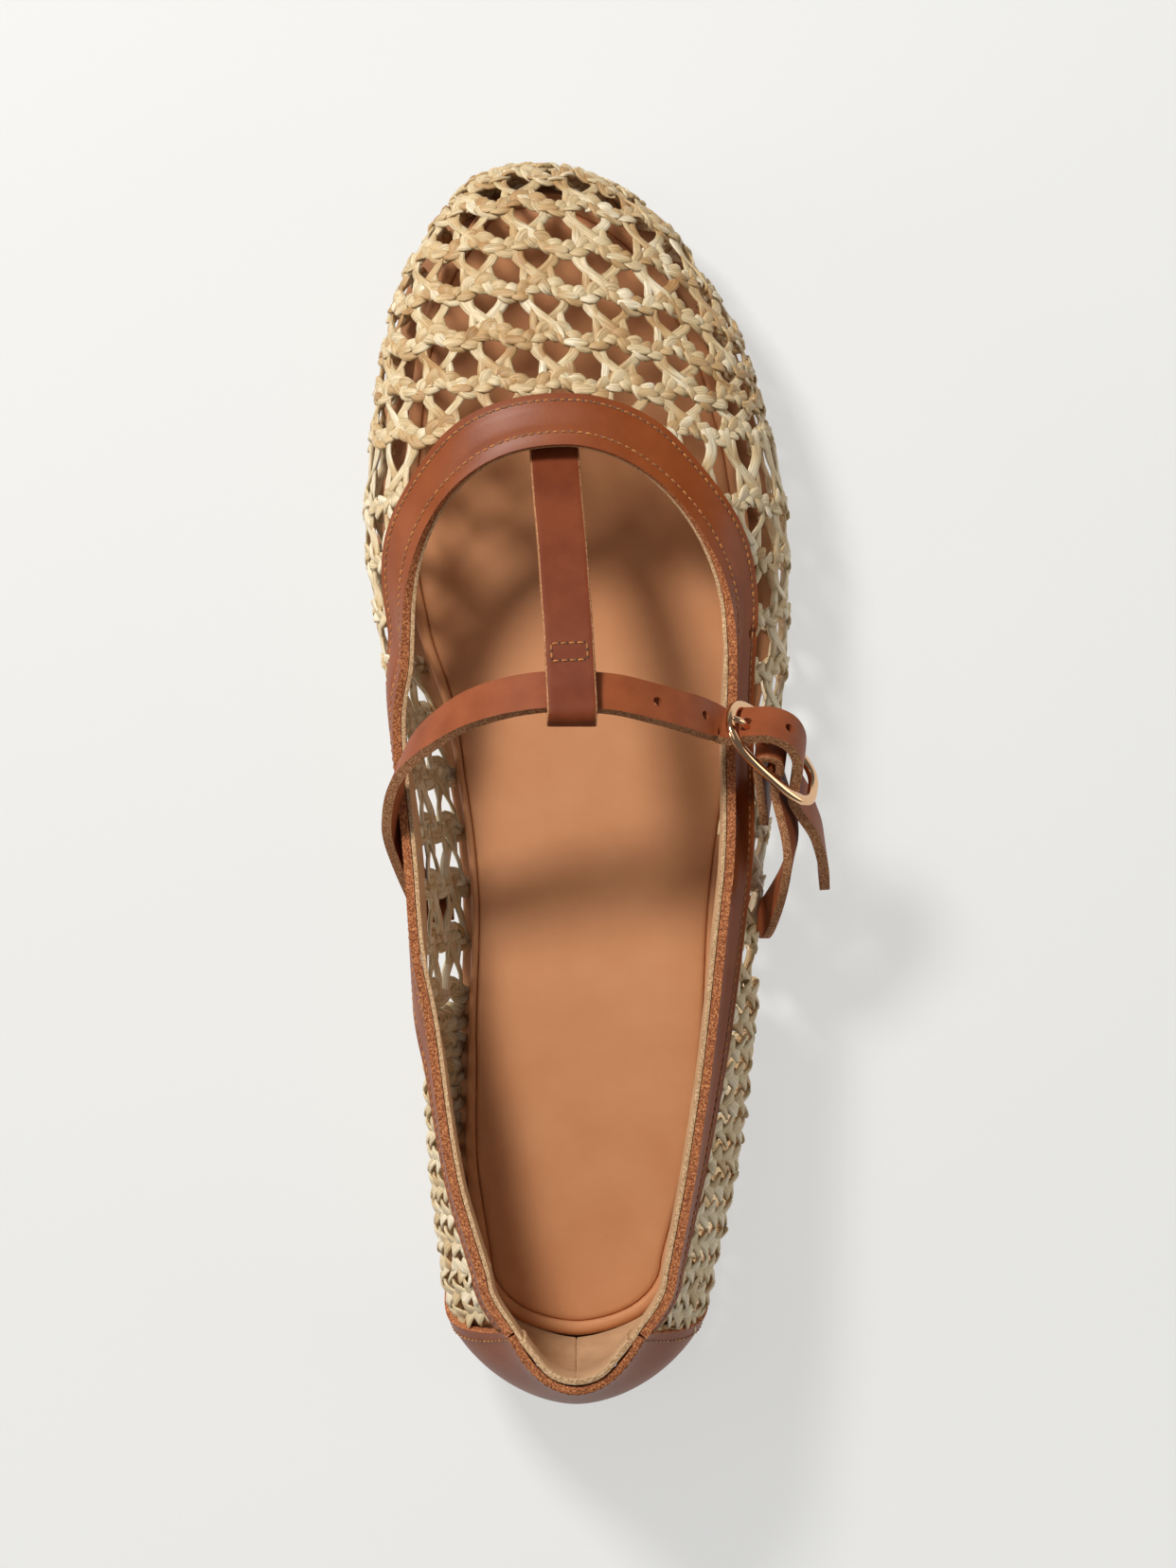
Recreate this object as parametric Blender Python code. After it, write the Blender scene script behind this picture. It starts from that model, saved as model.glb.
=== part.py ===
"""Raffia ballet flat, right shoe: a lattice upper on a leather sole, with a T-strap and a buckled
instep strap. Sizes are in millimetres in the shoe's own frame (+X outer side, +Y toe, +Z up),
and become metres when a mesh is made."""

import functools
import math

import bpy
import numpy as np

MM = 0.001
SHIFT_X, SHIFT_Y = -1.92, 1.32  # moves the middle of the shoe's box to the origin

# The last: one row for each cross-section of the upper's outer face
TOE_TIP_Y = 122.9
LAST_COLUMNS = (
    "y", "ridge_x", "ridge_z", "feather_z",
    "inner_half", "inner_bulge_z", "inner_tuck",
    "outer_half", "outer_bulge_z", "outer_tuck", "fullness", "inner_pinch", "outer_pinch",
)
LAST_ROWS = np.array([
    (122.9, -9.5, 15.0, 10.5, 0.0, 15.0, 2.5, 0.0, 15.0, 2.5, 2.2, 0.0, 0.0),
    (121.0, -9.5, 21.0, 10.2, 11.2, 15.0, 2.6, 10.0, 15.0, 2.6, 2.2, 0.0, 0.0),
    (118.0, -9.3, 25.5, 9.6, 15.9, 15.2, 2.8, 16.0, 15.2, 2.8, 2.25, 0.0, 0.0),
    (112.5, -8.6, 30.5, 8.6, 21.0, 15.6, 3.0, 23.0, 15.6, 3.0, 2.3, 0.0, 0.0),
    (101.0, -7.0, 36.0, 7.0, 29.6, 16.4, 3.4, 29.8, 16.4, 3.4, 2.3, 0.0, 0.0),
    (90.0, -5.6, 39.5, 6.0, 34.3, 17.2, 3.6, 35.2, 17.2, 3.6, 2.25, 0.0, 0.0),
    (78.0, -4.4, 43.5, 5.4, 37.5, 18.0, 3.8, 38.0, 18.0, 3.8, 2.2, 0.0, 0.0),
    (65.0, -4.0, 46.0, 5.0, 39.3, 19.0, 4.0, 41.0, 18.6, 4.0, 2.1, 8.0, 14.0),
    (50.0, -3.2, 47.5, 5.0, 40.9, 20.5, 4.2, 42.2, 19.4, 4.2, 2.05, 8.0, 14.0),
    (30.0, -2.5, 48.3, 5.0, 38.9, 26.0, 5.4, 41.6, 20.2, 4.6, 2.0, 7.0, 12.7),
    (10.0, -1.9, 49.5, 6.4, 34.6, 36.0, 7.6, 39.2, 21.0, 5.4, 2.0, 2.6, 11.2),
    (-20.0, -1.1, 59.0, 9.4, 31.8, 43.0, 8.6, 34.9, 23.0, 6.0, 2.0, 0.9, 8.4),
    (-50.0, -1.1, 63.0, 11.4, 30.2, 34.0, 6.6, 32.0, 24.0, 4.8, 2.0, 2.8, 8.8),
    (-75.0, -1.6, 69.0, 12.0, 28.4, 27.0, 4.2, 29.3, 24.0, 3.6, 2.0, 5.3, 9.3),
    (-95.5, -2.3, 75.0, 12.0, 26.4, 26.0, 3.0, 26.4, 25.0, 3.0, 2.0, 10.0, 9.6),
])
HEEL_X, HEEL_Y = -2.3, -95.5  # axis that the sections turn about behind the heel's widest place
HEEL_REACH = 27.6
HEEL_ROUNDNESS = 1.9
HEEL_BULGE_Z = 28.0
HEEL_PERIMETER_R = 27.0
HEEL_PINCH, CORNER_PINCH = 7.7, 2.4  # how far the collar draws in at the back, and more at the heel's corners
WALL_START_Y, WALL_BLEND = 66.0, 50.0  # from here back the vaulted section becomes a free wall
FREE_EDGE = 3.0  # upright part of the wall below the collar
LEAST_CLIMB = 12.0  # shortest height over which the wall draws in
SIDE_RUN = TOE_TIP_Y - HEEL_Y
HEEL_RUN = HEEL_PERIMETER_R * math.pi / 2
PROFILE_STEPS = 40

# Throat and collar
THROAT_X, THROAT_BACK_Y, THROAT_LENGTH = -4.0, 30.0, 35.6
THROAT_HALF = {"inner": 29.8, "outer": 30.2}
THROAT_POWER = {"inner": 2.3, "outer": 1.87}
COLLAR_BLEND = 25.0
COLLAR_COLUMNS = ("s", "z")
COLLAR_ROWS = np.array([
    (SIDE_RUN - 125.5, 40.4),
    (SIDE_RUN - 105.5, 41.0),
    (SIDE_RUN - 75.5, 43.6),
    (SIDE_RUN - 45.5, 47.0),
    (SIDE_RUN - 20.5, 51.2),
    (SIDE_RUN, 54.6),
    (SIDE_RUN + HEEL_RUN, 58.0),
])

# Raffia wall
WALL = 1.8
STRIP_RAISE = 0.55
BAND_HALF = 1.7
COLUMN_PITCH = 6.1
STRUT_HALF = 0.85
STRUT_LEAN = 1.2
FILL_STEP = 6.5
THROAT_STEP = 4.0
VAMP_COLUMNS = ("centre_y", "skew", "bend", "first_strut", "last_strut")
VAMP_BANDS = (
    (121.0, 0.0, 5.0, 0, 2),
    (114.4, 0.04, 4.0, 0, 5),
    (106.0, 0.07, 4.0, 0, 6),
    (96.8, 0.07, 3.5, 0, 7),
    (87.5, 0.06, 2.5, 0, 8),
    (78.1, 0.03, 1.0, 5, 8),
    (68.8, 0.0, 0.0, 0, 0),
)
BEND_HALF_WIDTH = 30.0
BEND_LIMIT = 36.0
SIDE_START_Y = 55.3
SIDE_BANDS = 37
LATTICE_END_Y = -46.0
LOWEST_STRUT = 8.5
COVER_WIDTH = 10.0
COVER_MARGIN = 5.0

# Leather laid on the wall
GAP = 0.3
OVERLAY_GAP = 0.9  # clears the facets of both curved faces
BAND_THICK = 1.7
COUNTER_THICK = 1.6
COUNTER_FRONT = (SIDE_RUN - 1.0, SIDE_RUN + 20.5)  # run of its front edge at the sole and at the collar
COUNTER_CURVE = 0.65
COUNTER_STATIONS, COUNTER_ROWS = 11, 8
SEAM = 1.0  # between the band's ends and the counter

# Sole and footbed
SOLE_EDGE = 0.8
SOLE_ROUND = 1.1
SOLE_COLUMNS = ("y", "bottom_z")
SOLE_BOTTOM = np.array([
    (130.0, 7.2), (120.0, 5.6), (112.0, 4.2), (100.0, 2.4), (90.0, 1.2), (80.0, 0.3),
    (72.0, 0.0), (18.0, 0.0), (8.0, 0.5), (-8.0, 2.2), (-25.0, 4.4), (-45.0, 6.2), (-60.0, 7.0),
])
HEEL_BREAST_Y = -62.0
BREAST_SLOPE = 0.4
TOE_RUN = 45.0
TOE_POINTS, SIDE_POINTS, HEEL_POINTS = 10, 10, 8
FOOTBED_INSET, FOOTBED_BACK_INSET = 2.8, 9.0
FOOTBED_RINGS = ((0.9, 0.0), (0.0, 1.6), (0.1, 3.4), (1.0, 4.5), (2.2, 4.6), (2.9, 4.1), (4.0, 4.4))  # in, up

# Straps: centre of the leather and the direction across it, towards the heel
STRAP_COLUMNS = ("x", "y", "z", "across_x", "across_y", "across_z")
INSTEP_WIDTH, INSTEP_THICK = 8.0, 2.0
INSTEP_ANCHOR = ("inner", -25.6, (3.0, 9.0, 15.0))  # side, y and heights up the wall where it is sewn on
INSTEP_PATH = (
    (-39.2, -11.5, 38.0, -0.2, -0.8, 0.55),
    (-39.6, -4.0, 45.5, -0.3, -0.75, 0.6),
    (-36.6, 3.4, 52.6, -0.3, -0.75, 0.6),
    (-30.8, 9.2, 57.8, -0.2, -0.8, 0.55),
    (-22.0, 14.6, 62.2, -0.1, -0.85, 0.5),
    (-10.0, 17.5, 64.7, 0.0, -0.88, 0.47),
    (3.5, 17.4, 64.4, 0.0, -0.88, 0.47),
    (13.0, 15.4, 61.0, -0.05, -0.85, 0.52),
    (19.4, 13.6, 57.0, -0.15, -0.75, 0.62),
)
INSTEP_THROUGH_BUCKLE = (
    (-13.4, -3.8), (-9.6, -2.8), (-6.2, 0.4), (-3.0, 4.3), (0.0, 5.3),
    (3.0, 4.3), (6.2, 0.4), (9.6, -2.8), (13.4, -3.8),
)
INSTEP_TAIL = (
    (44.6, -8.6, 35.0, -0.15, -0.5, 0.86),
    (46.0, -14.0, 29.6, -0.1, -0.5, 0.86),
    (46.6, -19.8, 24.0, -0.1, -0.5, 0.86),
)
T_WIDTH, T_THICK = 9.2, 1.8
T_PATH = (
    (-7.0, 72.0, 39.2, 1.0, 0.0, 0.0),
    (-6.6, 65.0, 42.1, 1.0, 0.0, 0.0),
    (-6.0, 57.0, 47.8, 1.0, 0.0, 0.0),
    (-5.0, 46.0, 54.6, 1.0, 0.0, 0.0),
    (-4.3, 36.0, 60.2, 1.0, 0.0, 0.0),
    (-3.8, 30.0, 63.2, 1.0, 0.0, 0.0),
    (-3.5, 24.0, 65.6, 1.0, 0.0, 0.0),
    (-3.2, 18.5, 67.3, 1.0, 0.0, 0.0),
    (-3.0, 14.6, 69.1, 1.0, 0.0, 0.0),
    (-3.0, 11.8, 68.7, 1.0, 0.0, 0.0),
    (-3.0, 11.0, 66.2, 1.0, 0.0, 0.0),
    (-3.0, 12.6, 63.7, 1.0, 0.0, 0.0),
    (-3.0, 16.3, 61.9, 1.0, 0.0, 0.0),
    (-3.2, 20.6, 60.2, 1.0, 0.0, 0.0),
    (-3.5, 25.0, 60.9, 1.0, 0.0, 0.0),
    (-3.8, 30.0, 60.3, 1.0, 0.0, 0.0),
    (-4.3, 36.0, 57.6, 1.0, 0.0, 0.0),
)
BUCKLE_STRAP_WIDTH, BUCKLE_STRAP_THICK = 7.6, 1.7
BUCKLE_STRAP_ANCHOR = ("outer", -29.0, (4.0, 9.0, 14.0))
BUCKLE_STRAP_PATH = (
    (38.6, -18.5, 33.2, -0.1, -0.75, 0.65),
    (39.6, -10.5, 38.6, -0.2, -0.6, 0.75),
)
FOLD_ROUND_BAR = (
    (6.4, -4.1), (3.4, -1.2), (1.9, 0.9), (0.0, 1.9), (-1.9, 0.9), (-2.2, -1.2), (0.4, -3.6), (4.0, -5.8),
)

# Buckle: an oval of round wire with a bar across its middle
WIRE_R = 1.05
FRAME_CENTRE = np.array((35.8, 6.0, 47.4))
FRAME_ALONG = np.array((0.66, -0.58, -0.48))
FRAME_ACROSS = np.array((-0.36, -0.43, 0.83))
FRAME_ALONG /= np.linalg.norm(FRAME_ALONG)
FRAME_ACROSS -= FRAME_ALONG * (FRAME_ACROSS @ FRAME_ALONG)
FRAME_ACROSS /= np.linalg.norm(FRAME_ACROSS)
FRAME_UP = np.cross(FRAME_ACROSS, FRAME_ALONG)
FRAME_HALF_LENGTH, FRAME_HALF_WIDTH = 12.2, 6.2
FRAME_POWER = 3.0
FRAME_STEPS, WIRE_SIDES = 36, 8
BAR_R = 0.6
PRONG_R = 0.75
PRONG_PATH = ((-3.7, 0.4), (-8.0, 1.5), (-13.4, 2.5))  # along the buckle and up from its plane
PRONG_SLOT_R = 1.2

COLOURS = {
    "raffia": (0.64, 0.50, 0.30), "cognac": (0.22, 0.055, 0.02), "strap": (0.33, 0.09, 0.035),
    "footbed": (0.48, 0.21, 0.09), "sole": (0.36, 0.19, 0.09), "gold": (0.83, 0.60, 0.40),
}


def monotone(x, y, at):
    """Cubic through the points that adds no bumps between them."""
    step = np.diff(x)
    slope = np.diff(y) / step
    tangent = np.zeros(len(x))
    tangent[0], tangent[-1] = slope[0], slope[-1]
    rising = slope[:-1] * slope[1:] > 0
    first, second = 2 * step[1:] + step[:-1], step[1:] + 2 * step[:-1]
    safe = np.where(rising, slope[:-1], 1.0), np.where(rising, slope[1:], 1.0)
    tangent[1:-1] = np.where(rising, (first + second) / (first / safe[0] + second / safe[1]), 0.0)
    i = int(np.clip(np.searchsorted(x, at) - 1, 0, len(x) - 2))
    t = (at - x[i]) / step[i]
    return (
        y[i] * (1 + 2 * t) * (1 - t) ** 2 + y[i + 1] * t * t * (3 - 2 * t)
        + step[i] * (tangent[i] * t * (1 - t) ** 2 + tangent[i + 1] * t * t * (t - 1))
    )


ROOT_OF_RUN = np.sqrt(TOE_TIP_Y - LAST_ROWS[:, 0])


def last(column, s):
    """A column of the last at a run s back from the toe tip. The root of the run keeps the toe round."""
    return monotone(ROOT_OF_RUN, LAST_ROWS[:, LAST_COLUMNS.index(column)], math.sqrt(max(s, 0.0)))


def outline(side, s):
    """The widest line of the upper in plan."""
    sign = 1 if side == "outer" else -1
    return np.array((last("ridge_x", s) + sign * last(side + "_half", s), TOE_TIP_Y - s))


def outline_normal(side, s):
    root = math.sqrt(max(s, 0.0))
    ahead, behind = root - 0.05, root + 0.05
    other = {"inner": "outer", "outer": "inner"}[side]
    front = outline(side if ahead > 0 else other, ahead**2)
    tangent = outline(side, behind**2) - front
    normal = np.array((-tangent[1], tangent[0])) * (1 if side == "outer" else -1)
    return normal / np.linalg.norm(normal)


def collar_height(s):
    return monotone(COLLAR_ROWS[:, 0], COLLAR_ROWS[:, 1], max(s, COLLAR_ROWS[0, 0]))


@functools.lru_cache(maxsize=None)
def section(side, s):
    """Plan origin, outward direction, direction of the tuck, and the profile from ridge to feather line."""
    sign = 1 if side == "outer" else -1
    at = min(s, SIDE_RUN)
    half, bulge = last(side + "_half", at), last(side + "_bulge_z", at)
    tuck, feather = last(side + "_tuck", at), last("feather_z", at)
    ridge, full, pinch = last("ridge_z", at), last("fullness", at), last(side + "_pinch", at)
    if s <= SIDE_RUN:
        origin = np.array((last("ridge_x", s), TOE_TIP_Y - s))
        out = np.array((sign, 0.0))
        tuck_out = outline_normal(side, s)
    else:
        angle = (s - SIDE_RUN) / HEEL_PERIMETER_R
        origin = np.array((HEEL_X, HEEL_Y))
        out = tuck_out = np.array((sign * math.cos(angle), -math.sin(angle)))
        power = HEEL_ROUNDNESS
        side_part, back_part = abs(math.cos(angle)) / half, abs(math.sin(angle)) / HEEL_REACH
        half = (side_part**power + back_part**power) ** (-1 / power)
        bulge += (HEEL_BULGE_Z - bulge) * math.sin(angle) ** 2
        pinch += (HEEL_PINCH - pinch) * math.sin(angle) ** 2 + CORNER_PINCH * math.sin(2 * angle) ** 2
    turn = np.linspace(math.pi / 2, 0, PROFILE_STEPS)
    low = np.linspace(1, 0, PROFILE_STEPS)[1:]
    over = bulge + (ridge - bulge) * np.sin(turn) ** (2 / full)
    vault = half * np.clip(np.cos(turn), 0, 1) ** (2 / full)
    climb = max(collar_height(s) - FREE_EDGE - bulge, LEAST_CLIMB)
    rise = np.clip((over - bulge) / climb, 0, 1)
    wall = half - pinch * rise**2 * (3 - 2 * rise)
    share = min(max((s - TOE_TIP_Y + WALL_START_Y) / WALL_BLEND, 0.0), 1.0)
    share = share**2 * (3 - 2 * share)
    away = np.concatenate([vault + (wall - vault) * share, half - tuck * (1 - low) ** 2])
    height = np.concatenate([over, feather + (bulge - feather) * low])
    arc = np.concatenate([[0.0], np.cumsum(np.hypot(np.diff(away), np.diff(height)))])
    return origin, out, tuck_out, half, away, height, arc


def bulge_arc(side, s):
    return section(side, s)[6][PROFILE_STEPS - 1]


def feather_arc(side, s):
    return section(side, s)[6][-1]


def on_last(side, s, u):
    """The outer face at run s and at arc u down from the ridge."""
    origin, out, tuck_out, half, away, height, arc = section(side, s)
    a, z = np.interp(u, arc, away), np.interp(u, arc, height)
    if u <= arc[PROFILE_STEPS - 1]:
        plan = origin + out * a
    else:
        plan = origin + out * half - tuck_out * (half - a)
    return np.array((plan[0], plan[1], z))


def surface(side, s, u, lift=0.0):
    """The outer face, raised along its normal."""
    reach = feather_arc(side, s)
    u = min(u, reach)
    point = on_last(side, s, u)
    if lift == 0.0:
        return point
    before, after = max(s - 0.4, 0.02), min(s + 0.4, SIDE_RUN + HEEL_RUN)
    along = on_last(side, after, u) - on_last(side, before, u)
    down = on_last(side, s, min(u + 0.4, reach)) - on_last(side, s, max(u - 0.4, 0.0))
    normal = np.cross(along, down) * (1 if side == "outer" else -1)
    return point + normal / np.linalg.norm(normal) * lift


def collar_arc(side, s):
    """Arc from the ridge to the edge of the opening, or zero ahead of the throat."""
    y = TOE_TIP_Y - s
    origin, out, tuck_out, half, away, height, arc = section(side, s)
    if s <= SIDE_RUN and y > THROAT_BACK_Y:
        share = min((y - THROAT_BACK_Y) / THROAT_LENGTH, 1.0)
        x_half = THROAT_HALF[side] * (1 - share ** THROAT_POWER[side]) ** (1 / THROAT_POWER[side])
        shift = (THROAT_X - origin[0]) * (1 if side == "outer" else -1)
        edge = max(x_half + shift, 0.0)
        return float(np.interp(edge, away[:PROFILE_STEPS], arc[:PROFILE_STEPS]))
    z = collar_height(s)
    start = COLLAR_ROWS[0, 0]
    if s < start + COLLAR_BLEND:
        throat_z = on_last(side, start, collar_arc(side, start - 0.01))[2]
        z = throat_z + (z - throat_z) * (s - start) / COLLAR_BLEND
    return float(np.interp(-z, -height, arc))


def make_material(name, colour, roughness, metallic=0.0):
    material = bpy.data.materials.new(name)
    material.use_nodes = True
    shader = material.node_tree.nodes["Principled BSDF"]
    shader.inputs["Base Color"].default_value = (*COLOURS[colour], 1.0)
    shader.inputs["Roughness"].default_value = roughness
    shader.inputs["Metallic"].default_value = metallic
    return material


def add_object(name, points, faces, material, smooth_angle=40.0):
    """A mesh from millimetre points, shifted to the shoe's origin."""
    placed = (np.array(points) + (SHIFT_X, SHIFT_Y, 0.0)) * MM
    mesh = bpy.data.meshes.new(name)
    mesh.from_pydata(placed.tolist(), [], [list(map(int, face)) for face in faces])
    mesh.materials.append(material)
    mesh.shade_smooth()
    mesh.set_sharp_from_angle(angle=math.radians(smooth_angle))
    made = bpy.data.objects.new(name, mesh)
    bpy.context.scene.collection.objects.link(made)
    return made


class Sheet:
    """A wall with the same faces outside and inside, closed along every open edge."""

    def __init__(self):
        self.outer, self.inner, self.faces = [], [], []

    def vertex(self, outer, inner):
        self.outer.append(outer)
        self.inner.append(inner)
        return len(self.outer) - 1

    def zip(self, first, second):
        """Triangles between two lines of vertices."""
        def spread(line):
            points = np.array([self.outer[i] for i in line])
            run = np.concatenate([[0.0], np.cumsum(np.linalg.norm(np.diff(points, axis=0), axis=1))])
            return run / run[-1]
        a, b = spread(first), spread(second)
        i = j = 0
        while i < len(first) - 1 or j < len(second) - 1:
            step_first = j == len(second) - 1 or (i < len(first) - 1 and a[i + 1] <= b[j + 1])
            if step_first:
                face = (first[i], first[i + 1], second[j])
                i += 1
            else:
                face = (first[i], second[j + 1], second[j])
                j += 1
            if len(set(face)) == 3:
                self.faces.append(face)

    def quad(self, a, b, c, d):
        self.faces += [(a, b, c), (a, c, d)]

    def closed(self):
        """Points and faces of the closed wall."""
        count = len(self.outer)
        edges = {}
        for face in self.faces:
            for a, b in zip(face, face[1:] + face[:1]):
                edges[(a, b)] = True
        rims = [(b, a) for a, b in edges if (b, a) not in edges]
        faces = [(c, b, a) for a, b, c in self.faces]
        faces += [(a + count, b + count, c + count) for a, b, c in self.faces]
        for a, b in rims:
            faces += [(a, b + count, b), (a, a + count, b + count)]
        return self.outer + self.inner, faces


def side_of(u):
    return "outer" if u >= 0 else "inner"


def wall_lift(side, s, u):
    """Strips are flat where leather covers them, raised elsewhere."""
    reach = COVER_WIDTH + COVER_MARGIN
    share = max(TOE_TIP_Y - s - THROAT_BACK_Y, 0.0) / (THROAT_LENGTH + reach)
    power = THROAT_POWER[side]
    half = (THROAT_HALF[side] + reach) * max(1 - share**power, 0.0) ** (1 / power)
    across = abs(on_last(side, s, u)[0] - THROAT_X)
    under_band = across < half if share > 0 else u - collar_arc(side, s) < reach
    under_counter = s > COUNTER_FRONT[0] - COVER_MARGIN
    return 0.0 if under_band or under_counter else STRIP_RAISE


def wall_vertex(sheet, side, s, u, raised=False):
    lift = wall_lift(side, s, u) if raised else 0.0
    return sheet.vertex(surface(side, s, u, lift), surface(side, s, u, -WALL))


def vamp_run(band, offset, u):
    """Run of a band's line where it crosses arc u. Bands bow back towards their ends."""
    centre_y, skew, bend = band[:3]
    across = max(-BEND_LIMIT, min(BEND_LIMIT, u))
    run = TOE_TIP_Y - centre_y + skew * across + bend * (across / BEND_HALF_WIDTH) ** 2
    root = math.sqrt(run)
    rise = (last("ridge_z", (root + 0.1) ** 2) - last("ridge_z", (root - 0.1) ** 2)) / 0.2
    return (root + offset / math.hypot(2 * root, rise)) ** 2


def vamp_ends(run_of):
    """Arcs at which a line across the vamp meets the feather line on either side."""
    ends = []
    for side, sign in (("inner", -1), ("outer", 1)):
        u = sign * 40.0
        for _ in range(20):
            u = sign * feather_arc(side, run_of(u))
        ends.append(u)
    return ends


def even_arcs(start, end, step):
    count = max(1, math.ceil(abs(end - start) / step))
    return list(np.linspace(start, end, count + 1))


def fill_pairs(start, end):
    """Pairs of arcs that step evenly from one pair to another, without either of them."""
    count = max(1, math.ceil(abs(end[0] - start[0]) / FILL_STEP))
    return [tuple(start[k] + (end[k] - start[k]) * i / count for k in (0, 1)) for i in range(1, count)]


def lattice_columns(first, second, groups):
    """Pairs of arcs on a row's two lines, and which cells between them are holes."""
    pairs, holes = [(first[0], second[0])], []
    for struts in groups:
        for number, u in enumerate(struts):
            lean = STRUT_LEAN * (-1) ** round(u / COLUMN_PITCH)
            foot, head = u + lean, u - lean
            if number == 0:
                fill = fill_pairs(pairs[-1], (foot - STRUT_HALF, head - STRUT_HALF))
                pairs += fill
                holes += [False] * (len(fill) + 1)
            else:
                holes.append(True)
            pairs += [(foot - STRUT_HALF, head - STRUT_HALF), (foot + STRUT_HALF, head + STRUT_HALF)]
            holes.append(False)
    fill = fill_pairs(pairs[-1], (first[1], second[1]))
    pairs += fill + [(first[1], second[1])]
    return pairs, holes + [False] * (len(fill) + 1)


def lattice_row(sheet, first, second, holes):
    for i, hole in enumerate(holes):
        if not hole:
            sheet.quad(first[i], first[i + 1], second[i + 1], second[i])


def vamp_line(sheet, run_of, arcs, raised=False):
    return [wall_vertex(sheet, side_of(u), run_of(u), abs(u), raised) for u in arcs]


def throat_run(u):
    """The front line of the first side band, which follows the edge of the throat across the middle."""
    straight = TOE_TIP_Y - SIDE_START_Y - BAND_HALF
    side = side_of(u)
    if abs(u) >= collar_arc(side, straight):
        return straight
    low, high = TOE_TIP_Y - THROAT_BACK_Y - THROAT_LENGTH, straight
    for _ in range(40):
        middle = (low + high) / 2
        if collar_arc(side, middle) > abs(u):
            high = middle
        else:
            low = middle
    return (low + high) / 2


def vamp_struts(band):
    """Groups of struts in the row behind a band: one across the vamp, or one on each side of the throat."""
    first, last_one = band[3:]
    if first == 0:
        return [[j * COLUMN_PITCH for j in range(-last_one, last_one + 1)]] if last_one else []
    side = [j * COLUMN_PITCH for j in range(first, last_one + 1)]
    return [[-u for u in side[::-1]], side]


def build_vamp(sheet):
    """Bands across the vamp from the toe to the throat. Returns the last line and its arcs."""
    front_line = None
    for number, band in enumerate(VAMP_BANDS):
        lines = [functools.partial(vamp_run, band, offset) for offset in (-BAND_HALF, 0.0, BAND_HALF)]
        if front_line is None:
            front_arcs = even_arcs(*vamp_ends(lines[0]), FILL_STEP)
            front_line = vamp_line(sheet, lines[0], front_arcs)
            close_toe(sheet, front_line, lines[0], front_arcs)
        middle_line = vamp_line(sheet, lines[1], even_arcs(*vamp_ends(lines[1]), FILL_STEP), True)
        is_last = number == len(VAMP_BANDS) - 1
        next_run = throat_run if is_last else functools.partial(vamp_run, VAMP_BANDS[number + 1], -BAND_HALF)
        if is_last:
            pairs, holes = throat_columns(vamp_ends(lines[2]), vamp_ends(next_run))
        else:
            pairs, holes = lattice_columns(vamp_ends(lines[2]), vamp_ends(next_run), vamp_struts(band))
        back_line = vamp_line(sheet, lines[2], [p[0] for p in pairs])
        next_line = vamp_line(sheet, next_run, [p[1] for p in pairs])
        sheet.zip(front_line, middle_line)
        sheet.zip(middle_line, back_line)
        lattice_row(sheet, back_line, next_line, holes)
        front_line = next_line
    return front_line, [p[1] for p in pairs]


def wall_struts(wall_height):
    """Struts in a row of the side wall, between the leather and the sole, as arcs from the feather line."""
    struts = [-LOWEST_STRUT]
    while struts[-1] - COLUMN_PITCH > COVER_WIDTH + STRUT_LEAN - wall_height:
        struts.append(struts[-1] - COLUMN_PITCH)
    return [struts[::-1]] if len(struts) > 1 else []


def throat_columns(first, second):
    """Columns of the row that ends at the throat, with a column at each corner of the opening."""
    straight = TOE_TIP_Y - SIDE_START_Y - BAND_HALF
    middle_run = straight - COLUMN_PITCH / 2
    corners = [-collar_arc("inner", straight), collar_arc("outer", straight)]
    starts = [float(np.interp(u, second, first)) for u in corners]
    reach = [feather_arc(side, middle_run) for side in ("inner", "outer")]
    inner = [[-reach[0] - u for u in group[::-1]] for group in wall_struts(reach[0] + corners[0])]
    pairs, holes = lattice_columns((first[0], starts[0]), (second[0], corners[0]), inner)
    middle = even_arcs(corners[0], corners[1], THROAT_STEP)[1:-1]
    pairs += [(float(np.interp(u, second, first)), u) for u in middle]
    holes += [False] * (len(middle) + 1)
    outer = [[reach[1] + u for u in group] for group in wall_struts(reach[1] - corners[1])]
    more_pairs, more_holes = lattice_columns((starts[1], first[1]), (corners[1], second[1]), outer)
    return pairs + more_pairs, holes + more_holes


def close_toe(sheet, line, run_of, arcs):
    """The front of the toe below its first band, down to the feather line."""
    roots = np.linspace(-math.sqrt(run_of(arcs[0])), math.sqrt(run_of(arcs[-1])), 11)[1:-1]
    bulge, feather = [line[0]], [line[0]]
    for root in roots:
        side, s = side_of(root), root * root
        bulge.append(wall_vertex(sheet, side, s, bulge_arc(side, s)))
        feather.append(wall_vertex(sheet, side, s, feather_arc(side, s)))
    bulge.append(line[-1])
    feather.append(line[-1])
    sheet.zip(feather, bulge)
    sheet.zip(bulge, line)


def side_station(q):
    """Side and run of a place q along the walls, from the outer throat round the heel to the inner throat."""
    start = TOE_TIP_Y - SIDE_START_Y
    half = SIDE_RUN + HEEL_RUN - start
    return ("outer", start + q) if q <= half else ("inner", start + 2 * half - q)


def side_line(sheet, q, arcs, raised=False):
    side, s = side_station(q)
    return [wall_vertex(sheet, side, s, feather_arc(side, s) + u, raised) for u in arcs]


def wall_height(side, s):
    """Arc from the feather line up to the collar."""
    return feather_arc(side, s) - collar_arc(side, s)


def side_ends(q):
    return [-wall_height(*side_station(q)), 0.0]


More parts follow.
